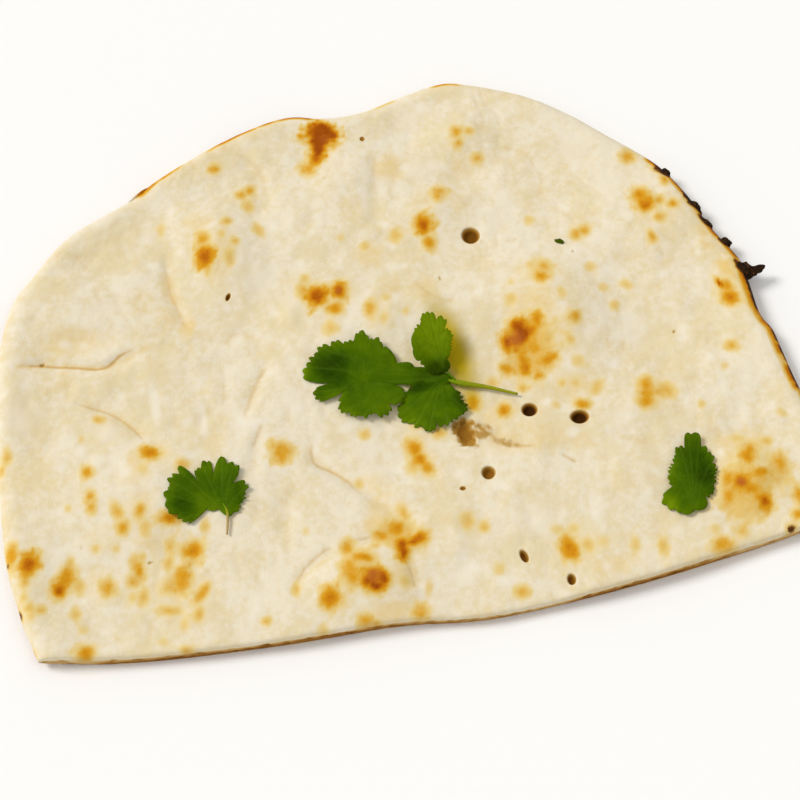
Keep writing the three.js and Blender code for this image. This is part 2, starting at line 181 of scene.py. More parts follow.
# width, depth, the places it runs through
CREASES = [(2, 0.9, [(-96, 11), (-89, 11), (-73, 7), (-61, 11)]),
           (2, 0.63, [(-80, -2), (-72, -8), (-66, -15), (-60, -22)]),
           (2.2, 0.49, [(-52, 42), (-53, 25), (-49, 13)]),
           (2.2, 0.42, [(-29, 66), (-24, 58), (-24, 45)]), (2.4, 0.42, [(8, 60), (5, 34)]),
           (2, 0.42, [(-30, 3), (-40, -15)]), (2, 0.49, [(-36, -18), (-40, -29), (-43, -33)]),
           (2, 0.42, [(-33, -39), (-36, -51)]),
           (2, 0.7, [(-26, -26), (-22, -33), (-14, -40), (-9, -47), (0, -56)]),
           (2, 0.63, [(-35, -67), (-34, -63), (-28, -59), (-20, -57), (-10, -55), (-2, -57)]),
           (2, 0.49, [(-5, -59), (-6, -71)]), (2, 0.42, [(-88, -62), (-78, -71)]),
           (3, -0.56, [(9, -49), (5, -65)]), (3, -0.49, [(85, -40), (98, -43)])]
CREASE_STEPS = 16
# wavelength, heading in degrees, height, phase
SWELLS = [(74, 25, 0.35, 0.4), (47, 110, 0.25, 2.1), (31, 62, 0.16, 4), (23, 155, 0.12, 1.3)]


def clamp01(value):
    return np.clip(value, 0, 1)


def smooth(value):
    return clamp01(value) ** 2 * (3 - 2 * clamp01(value))


def quarter_round(value):
    return np.sqrt(1 - (1 - clamp01(value)) ** 2)


def mix(a, b, share):
    return a + (b - a) * share


def tapered(share):
    """1 along most of a line, and 0 at its two ends."""
    return smooth(5 * share) * smooth(5 * (1 - share))


def oval(x, y, middle_x, middle_y, half_width, half_length, turn):
    """How far out a place lies in a turned oval: 0 in its middle, 1 on its edge."""
    c, s = math.cos(math.radians(turn)), math.sin(math.radians(turn))
    across = ((x - middle_x) * c + (y - middle_y) * s) / half_width
    along = ((y - middle_y) * c - (x - middle_x) * s) / half_length
    return np.hypot(across, along)


def relief(x, y):
    height = np.zeros(len(x))
    for *place, rise in BLISTERS:
        height += rise * smooth(1 - oval(x, y, *place))
    for width, depth, places in CREASES:
        gap, share = to_line(x, y, curve_through(places, CREASE_STEPS))
        height -= depth * np.exp(-((gap / width) ** 2)) * tapered(share)
    for wavelength, heading, rise, phase in SWELLS:
        along = x * math.cos(math.radians(heading)) + y * math.sin(math.radians(heading))
        height += rise * np.sin(2 * math.pi * along / wavelength + phase)
    return height


def rim_lift(rim_gap):
    return LIFT * (1 - smooth(rim_gap / LIFT_WIDTH))


def top_height(x, y):
    rim_gap, cut_gap = to_line(x, y, rim_line)[0], to_line(x, y, cut_line)[0]
    plain = THICKNESS + relief(x, y) + rim_lift(rim_gap)
    rolled = mix(RIM_EDGE, plain, quarter_round(rim_gap / TOP_ROLL))
    return rolled - CUT_ROLL * (1 - quarter_round(cut_gap / CUT_ROLL))


def underside_height(x, y, rim_gap):
    to_foot = np.min([np.hypot(x - foot_x, y - foot_y) for foot_x, foot_y in FEET], axis=0)
    bow = BOW * clamp01((to_foot - FOOT_RADIUS) / BOW_WIDTH)
    return mix(RIM_EDGE - RIM_WALL, rim_lift(rim_gap), quarter_round(rim_gap / UNDER_ROLL)) + bow


print("top at the middle of the bread:", round(float(top_height(np.zeros(1), np.zeros(1))[0]), 2), "mm")

# %% [markdown]
# ## The fine relief
#
# What a few thousand triangles leave out is added only here: small bubbles, hair-thin folds and a
# slightly grainy skin. Perlin noise gives the unevenness. It is a smooth random height that is the
# same on every run, and adding it at several sizes gives lumps that carry smaller lumps.

# %% Fine relief
SKIN_GRAIN = [(11, 0.24, 3), (4, 0.13, 2), (1.6, 0.05, 1)]
SMALL_BUBBLES = 230
BUBBLES_ACROSS, BUBBLES_ALONG = (-100, 100), (-78, 76)
BUBBLE_RADIUS, BUBBLE_OVALNESS = (1.4, 5.5), (0.7, 1.3)
BUBBLE_RISE = 0.05
# width, depth, how tan the line is, the places it runs through
FOLDS = [(0.6, 0.25, 0.8, [(-97.5, 11.6), (-90, 10.9), (-82, 9), (-74, 7), (-68.6, 10), (-62.5, 11.5)]),
         (0.8, 0.12, 0.15, [(-74, 6.8), (-71, 5), (-68.4, 3.8)]),
         (0.7, 0.2, 0.5, [(-84, -0.6), (-80, -3.5), (-74, -6.8), (-69.6, -11.2), (-67, -15.3), (-65.5, -19)]),
         (0.8, 0.12, 0.2, [(-79, 2.3), (-78, -2.4), (-76, -5.2)]),
         (1, 0.2, 0.35, [(-53.5, 38), (-53.6, 28), (-52.4, 21.6), (-51, 15), (-50, 11.5)]),
         (0.9, 0.15, 0.2, [(-50, 11.7), (-51.7, 6), (-52, -1), (-50, -4.5)]),
         (0.9, 0.18, 0.28, [(-44.6, 7.5), (-43.5, -1), (-44.6, -9), (-46, -12.5)]),
         (1, 0.22, 0.4, [(-31.4, 0), (-35, -5), (-38.7, -12), (-41, -16)]),
         (0.9, 0.18, 0.42, [(-35.6, -17), (-38.4, -22.3), (-39.8, -25)]),
         (1, 0.12, 0.25, [(-90, -7.5), (-89.3, -12)]),
         (1, 0.15, 0.3, [(-46, 10), (-41.3, 8.4), (-38.3, 10.3), (-31.5, 8)]),
         (0.9, 0.12, 0.12, [(-62, -1), (-63.7, -9.8)]),
         (1.2, 0.16, 0.3, [(-31, 68.5), (-26.7, 65), (-23.7, 61), (-22.7, 55), (-23.3, 50)]),
         (1, 0.14, 0.24, [(9.3, 60.4), (7.1, 52), (6.8, 44)]), (1, 0.1, 0.2, [(18.5, 63.7), (17.6, 55)]),
         (1, 0.1, 0.16, [(6.4, 39), (5, 29)]), (1, 0.12, 0.2, [(-1, 50.5), (0, 46)]),
         (0.8, 0.22, 0.52, [(-23.6, -23), (-24.8, -28), (-24.2, -31.6), (-21, -34), (-18.4, -36.5),
                            (-16.3, -39), (-14.8, -42), (-13.5, -43.5)]),
         (1, 0.14, 0.2, [(-33.3, -37.8), (-33.5, -43.4), (-35, -50), (-35.6, -55.5)]),
         (1, 0.12, 0.2, [(-33.3, -37.8), (-28.4, -39.6)]),
         (0.8, 0.18, 0.45, [(-22.4, -55.4), (-25.5, -55.6), (-29.2, -57.6), (-32.6, -60.2), (-34.8, -63.8),
                           (-36, -69)]),
         (0.8, 0.15, 0.5, [(-22.4, -55.4), (-19.7, -54.6), (-15.9, -54.5), (-12.5, -53.8)]),
         (0.55, 0.16, 0.5, [(-6.9, -62.7), (-6.5, -67), (-6.3, -71)]),
         (1, 0.1, 0.16, [(2.6, -39.3), (3.4, -43.8)]),
         (1, 0.14, 0.26, [(45.6, 67), (44.6, 60), (44, 55.5), (50, 52), (51.8, 46.5), (52.6, 43), (51.5, 38),
                          (53, 33.7), (57, 28)]),
         (1, 0.1, 0.3, [(38, 24), (42.3, 24.6)]),
         (1, 0.16, 0.36, [(11.6, 16.6), (14.7, 11.8), (19.4, 8.6), (21.7, 11.3)]),
         (0.8, 0.16, 0.5, [(37.3, -41.5), (39.5, -43.4), (41.2, -45)]),
         (2.2, 0.15, 0.24, [(50, -37.4), (55, -39.8), (58.3, -42), (63.3, -43)]),
         (1, 0.12, 0.3, [(58.4, -8.8), (57, -14.7)]), (1, 0.12, 0.3, [(62.4, -11), (60.3, -16)]),
         (0.9, 0.12, 0.26, [(70.4, -1.8), (71.5, -7.7)]),
         (0.9, 0.12, 0.22, [(72, -67.7), (75.7, -69), (78.2, -71.7)]),
         (0.9, 0.2, 0.62, [(18, -30.8), (20.6, -31.8), (23.1, -34.8), (27.8, -37.2), (33, -38.5)]),
         (1, 0.12, 0.2, [(-83.5, -63.3), (-77.7, -72)]), (1.1, 0.1, 0.26, [(-59.3, -68), (-59.4, -73.5)]),
         (1, 0.1, 0.2, [(-48.2, -63.8), (-47.8, -67.4)]), (1, 0.1, 0.16, [(-50.5, -49.7), (-51, -53.7)])]
FOLD_STEPS = 30
FOLD_LINE, FOLD_WIDTH = 0.75, 1.7
WANDER = (22, 7)
WRINKLE_SIZE, WRINKLE_STRETCH, WRINKLE_LINE = 7, 0.5, 0.12
WRINKLE_DEPTH, WRINKLE_TAN = 0.13, 0.24
# how much of the skin has wrinkles, how sharply that share changes, and the noise that decides it
WRINKLED_SHARE, WRINKLED_CHANGE, WRINKLED_PLACES = 0.5, 1.4, (17, 1, 5.0)
rng = random.Random(11)


def grain(x, y, size, octaves, z=0.0):
    """Perlin noise, about -1 to 1, whose lumps are about this many millimetres across."""
    heights = np.broadcast_to(z, x.shape)
    return np.array([noise.fractal(Vector((a / size, b / size, c / size + size)), 1, 2, octaves)
                     for a, b, c in zip(x, y, heights)])


def fine_relief(x, y):
    height = sum(rise * grain(x, y, size, octaves) for size, rise, octaves in SKIN_GRAIN)
    for _ in range(SMALL_BUBBLES):
        radius = mix(*BUBBLE_RADIUS, rng.random() ** 2)
        middle_x, middle_y = rng.uniform(*BUBBLES_ACROSS), rng.uniform(*BUBBLES_ALONG)
        place = (middle_x, middle_y, radius, radius * rng.uniform(*BUBBLE_OVALNESS))
        height += BUBBLE_RISE * radius * smooth(1.2 - oval(x, y, *place, rng.uniform(0, 180)))
    for width, depth, _, places in FOLDS:
        gap, share = to_line(x, y, curve_through(places, FOLD_STEPS))
        height -= depth * np.exp(-((gap / (FOLD_WIDTH * width)) ** 2)) * tapered(share)
    return height - WRINKLE_DEPTH * wrinkles(x, y)


def wrinkles(x, y):
    """Soft wrinkles that wander over the skin and come and go: the zero lines of a stretched noise."""
    wander = WANDER[1] * grain(x, y, WANDER[0], 2)
    level = grain(x + wander, (y - wander) * WRINKLE_STRETCH, WRINKLE_SIZE, 2)
    wrinkled = clamp01(WRINKLED_SHARE + WRINKLED_CHANGE * grain(x, y, *WRINKLED_PLACES))
    return np.exp(-((level / WRINKLE_LINE) ** 2)) * wrinkled


def fold_marks(x, y):
    mark = np.zeros(len(x))
    for width, _, tan, places in FOLDS:
        gap, share = to_line(x, y, curve_through(places, FOLD_STEPS))
        mark = np.maximum(mark, tan * np.exp(-((gap / (FOLD_LINE * width)) ** 2)) * tapered(share))
    return np.maximum(mark, WRINKLE_TAN * wrinkles(x, y))


# %% [markdown]
# ## Holes of the docking roller
#
# Before baking, the dough is pricked so that it doesn't puff up like a balloon. The holes stay as
# round pits whose dark is partly browned dough and partly painted shade, as if they were deeper. One
# blister also burst and left a ragged pit with a flap of skin. The pits are pressed into the top as
# the mesh is given its heights, and their mouths are softly rounded.

# %% Pits
# middle x, y, half width, half length, turn, darkness of the mouth: browned dough and painted shade
DOCKING_HOLES = [(29.5, 28.3, 2.5, 2.6, 0, 0.84), (32.7, -27.5, 2.1, 2, 0, 1),
                 (44.9, -32.1, 2.5, 2, 0, 1), (18.4, -42.8, 1.8, 1.9, 0, 0.72),
                 (32.1, -75.4, 1.1, 1.5, 0, 0.74), (22, -67, 1, 1.8, 14, 0.74)]
BURST_PIT = (14.7, -30.6, 2.1, 3.7, 12, 0.68)
PINPRICKS = [(-38.4, 21.6, 0.6, 1.2, -30, 0.9), (6.5, 65.1, 0.7, 0.8, 0, 0.62),
             (11, -45.9, 0.8, 0.6, -10, 0.72), (75.8, -11.7, 0.5, 0.5, 0, 0.5),
             (-89.5, 11.2, 0.7, 0.5, 0, 0.45), (-69.4, -50.3, 0.5, 0.5, 0, 0.4),
             (-86, -43, 0.4, 0.5, 0, 0.3), (18.3, 16.2, 0.5, 0.6, 0, 0.3),
             (55.3, 17, 0.6, 0.4, -30, 0.3)]
# depths in mm, then where the floor starts to rise and where it reaches the skin: 1 is the oval's edge
PIT_DEPTH, PIT_FLOOR, PIT_MOUTH = 1.7, 0.45, 1.15
PRICK_DEPTH, PRICK_MOUTH = 0.7, 1.2
BURST_DEPTH, BURST_MOUTH = 1.5, 1.55
TORN, TORN_SIZE = 0.35, 1.5
# middle x, y, half width, half length, turn, how far the flap stands up
SKIN_FLAPS = [(17.8, -28.6, 1.7, 1.5, 20, 0.5), (21.6, -31.2, 2.2, 1.2, -20, 0.35),
              (17.2, -33.6, 1.2, 1, 0, 0.3)]
FLAP_EDGE = 1.3


def torn_oval(x, y, place):
    """How far out a place lies in an oval whose edge is torn."""
    return oval(x, y, *place) * (1 + TORN * grain(x, y, TORN_SIZE, 2))


def press_pits(x, y, top):
    for *place, _ in DOCKING_HOLES:
        top = top - PIT_DEPTH * (1 - smooth((oval(x, y, *place) - PIT_FLOOR) / (PIT_MOUTH - PIT_FLOOR)))
    top = top - BURST_DEPTH * smooth((BURST_MOUTH - torn_oval(x, y, BURST_PIT[:5])) / BURST_MOUTH)
    for *place, rise in SKIN_FLAPS:
        top = top + rise * smooth(FLAP_EDGE - torn_oval(x, y, place))
    for *place, darkness in PINPRICKS:
        top = top - PRICK_DEPTH * darkness * smooth(PRICK_MOUTH - oval(x, y, *place))
    return top


print(len(DOCKING_HOLES), "docking holes,", len(PINPRICKS), "pinpricks")

# %% [markdown]
# ## The bread's mesh
#
# The bread could be a filled outline, but a filled outline has long thin faces that can't hold fine
# relief. A grid of squares can. So the mesh starts as a flat square grid, is extruded to a slab, and
# is subdivided where detail shows: the top and the walls finely, the underside coarsely. The square
# is then stretched over the outline: each point is a blend of the four edge curves (a Coons patch),
# with the rows drawn closer together at the edge, where the dough rolls over.

# %% Slab of squares
COLUMNS, ROWS = 72, 55
FINE = 4
WALL_ROWS = 8
EDGE_CELLS = 6
RIM_CORNERS = (0.33, 0.67)
PIT_MARGIN = 1.3
PLAIN_PRICK, PRICK_MARGIN = 0.5, 0.8
PLAIN_FOLD, FOLD_MARGIN = 0.35, 0.9
# the slab is one unit wide and high: beyond these a point is on its border, its top or its underside
BORDER, TOP_LEVEL, UNDER_LEVEL = 0.4999, 0.999, 0.001


def grid_slab():
    """A closed slab one unit wide, its top and walls of fine squares and its underside of coarse ones."""
    dough = bmesh.new()
    bmesh.ops.create_grid(dough, x_segments=COLUMNS, y_segments=ROWS, size=0.5)
    lifted = bmesh.ops.extrude_face_region(dough, geom=dough.faces[:])["geom"]
    top = [v for v in lifted if isinstance(v, bmesh.types.BMVert)]
    bmesh.ops.translate(dough, verts=top, vec=(0, 0, 1))
    uprights = [e for e in dough.edges if abs(e.verts[0].co.z - e.verts[1].co.z) > 0.5]
    bmesh.ops.subdivide_edges(dough, edges=uprights, cuts=WALL_ROWS - 1, use_grid_fill=True)

    def on_border(vert):
        return max(abs(vert.co.x), abs(vert.co.y)) > BORDER

    fine = [e for e in dough.edges if abs(e.verts[0].co.z - e.verts[1].co.z) < 1e-5
            and (e.verts[0].co.z > TOP_LEVEL or all(on_border(v) for v in e.verts))]
    bmesh.ops.subdivide_edges(dough, edges=fine, cuts=FINE - 1, use_grid_fill=True)
    bmesh.ops.recalc_face_normals(dough, faces=dough.faces[:])
    return dough


def drawn_to_edges(share, cells):
    """Spreads the grid lines 0-1 so that they crowd together within the edge cells at both ends."""
    line = share * cells
    near, far = np.minimum(line, EDGE_CELLS), np.minimum(cells - line, EDGE_CELLS)
    place = line - EDGE_CELLS / 2
    place = np.where(line < EDGE_CELLS, near**2 / (2 * EDGE_CELLS), place)
    whole = cells - EDGE_CELLS
    place = np.where(cells - line < EDGE_CELLS, whole - far**2 / (2 * EDGE_CELLS), place)
    return place / whole


def on_curve(line, share):
    even = np.linspace(0, 1, len(line))
    return np.stack([np.interp(share, even, line[:, k]) for k in range(2)], axis=1)


def stretch_over_outline(share_x, share_y):
    """Places in a unit square, laid over the bread: the cut is its near side, the rim the other three."""
    u, v = drawn_to_edges(share_x, COLUMNS * FINE), drawn_to_edges(share_y, ROWS * FINE)
    left, right = RIM_CORNERS
    near, far = on_curve(cut_line, 1 - u), on_curve(rim_line, mix(left, right, u))
    west, east = on_curve(rim_line, left * v), on_curve(rim_line, mix(1, right, v))
    corners = [on_curve(rim_line, np.array([s]))[0] for s in (0, 1, left, right)]
    u, v = u[:, None], v[:, None]
    edges = (1 - v) * near + v * far + (1 - u) * west + u * east
    twice = ((1 - u) * (1 - v) * corners[0] + u * (1 - v) * corners[1]
             + (1 - u) * v * corners[2] + u * v * corners[3])
    return edges - twice


def places(bm):
    return np.array([v.co for v in bm.verts])


def move_to(bm, co):
    for vert, place in zip(bm.verts, co):
        vert.co = place


dough = grid_slab()
square = places(dough)
laid = stretch_over_outline(square[:, 0] + 0.5, square[:, 1] + 0.5)
move_to(dough, np.column_stack([laid, square[:, 2]]))


def needs_detail(co):
    """Whether each point of the top lies by a pit or on one of the plainer folds."""
    x, y, up = co[:, 0], co[:, 1], co[:, 2]
    close = np.zeros(len(x), bool)
    for middle_x, middle_y, width, length, *_ in [*DOCKING_HOLES, BURST_PIT]:
        close |= np.hypot(x - middle_x, y - middle_y) < max(width, length) + PIT_MARGIN
    for middle_x, middle_y, width, length, _, darkness in PINPRICKS:
        if darkness > PLAIN_PRICK:
            close |= np.hypot(x - middle_x, y - middle_y) < max(width, length) + PRICK_MARGIN
    for _, _, tan, line in FOLDS:
        if tan >= PLAIN_FOLD:
            close |= to_line(x, y, curve_through(line, FOLD_STEPS))[0] < FOLD_MARGIN
    return close & (up > TOP_LEVEL)


close = {v for v, detail in zip(dough.verts, needs_detail(places(dough))) if detail}
detail_edges = [e for e in dough.edges if e.verts[0] in close and e.verts[1] in close]
bmesh.ops.subdivide_edges(dough, edges=detail_edges, cuts=2, use_grid_fill=True)
open_edges = sum(not e.is_manifold for e in dough.edges)
print(len(dough.verts), "points,", open_edges, "open edges")

# %% [markdown]
# ## Heights
#
# Each point now knows its place on the bread and how far up the slab it lies, from 0 on the
# underside to 1 on the top. Its height is between the underside's formula and the top's. On the cut
# face the crumb shows: the knife opened bubbles that lie flat in the dough, so points there are
# pushed in by a noise that is stretched sideways. On the baked rim the edge bulges a little instead.

# %% Heights, crumb and rolled rim
CRUMB_SIZE = (2.6, 0.9)
CRUMB_DEPTH = 0.75
CRUMB_POCKET = 0.05
RIM_BULGE = 0.1
RIM_CRACKLE, RIM_CRACKLE_SIZE = 0.3, 2.2
UNDER_LUMP_RISE, UNDER_LUMP_SIZE, UNDER_LUMP_LEVEL = 0.12, 9, 0.4
CUT_SAG, CUT_SAG_WIDTH = 0.8, 1.7
CUT_CALM, CUT_CALM_WIDTH = 0.35, 1.5
# how near counts as being on the edge, and how far from the rim the cut face begins
AT_EDGE, CUT_BEGINS = 0.03, 0.6

flat = places(dough)
x, y, up = flat[:, 0], flat[:, 1], flat[:, 2]
rim_gap, rim_share = to_line(x, y, rim_line)
cut_gap, _ = to_line(x, y, cut_line)
rim_gap = np.where(rim_gap < AT_EDGE, 0, rim_gap)
is_top = up > TOP_LEVEL
is_wall = (up > UNDER_LEVEL) & (up < TOP_LEVEL)
on_edge = np.minimum(rim_gap, cut_gap) < AT_EDGE
edge_calm = quarter_round(rim_gap / TOP_ROLL) * clamp01(cut_gap / CUT_CALM_WIDTH + CUT_CALM)
detail = fine_relief(x, y) * edge_calm
sag = CUT_SAG * (1 - quarter_round(cut_gap / CUT_SAG_WIDTH)) * clamp01(rim_gap / TOP_ROLL)
top = press_pits(x, y, top_height(x, y) + detail - sag)
lumps_below = clamp01(grain(x, y, UNDER_LUMP_SIZE, 2) + UNDER_LUMP_LEVEL)
under = underside_height(x, y, rim_gap)
under = under + UNDER_LUMP_RISE * clamp01(rim_gap / UNDER_ROLL - 1) * lumps_below
height = mix(under, top, up)
move_to(dough, np.column_stack([x, y, height]))
dough.normal_update()
outward = np.array([v.normal for v in dough.verts])
outward[:, 2] = 0
outward /= np.maximum(np.linalg.norm(outward, axis=1), 1e-6)[:, None]
middle_of_wall = np.sin(math.pi * clamp01(up))
is_cut = on_edge & (cut_gap < AT_EDGE) & (rim_gap > CUT_BEGINS)
pockets = clamp01(grain(x, y, CRUMB_SIZE[0], 2, height * CRUMB_SIZE[0] / CRUMB_SIZE[1]) - CRUMB_POCKET)
crackle = grain(x, y, RIM_CRACKLE_SIZE, 2, height)
shift = np.where(is_cut, -CRUMB_DEPTH * 2 * pockets * middle_of_wall,
                 (RIM_BULGE + RIM_CRACKLE * crackle) * middle_of_wall)
shift = np.where(is_wall, shift, 0)
shaped = np.column_stack([x, y, height]) + outward * shift[:, None]
move_to(dough, shaped)
print("bread is", round(float(np.ptp(shaped[:, 0])), 1), "x", round(float(np.ptp(shaped[:, 1])), 1), "x",
      round(float(np.ptp(shaped[:, 2])), 1), "mm")

# %% [markdown]
# ## Where it toasted
#
# The spots are the face of a naan, so they are laid one by one, as a painter dots them in, each with
# its place, size and how far it toasted: 0.3 is a pale golden freckle, 0.6 orange, 0.8 brown and 1
# nearly burnt. Most are given where the camera sees them, which is how one would point them out, and
# the camera's own geometry turns that into a place on the bread. They aren't an image: each point of
# the mesh stores how toasted it is, in a colour attribute, and the material turns that number into a
# colour.

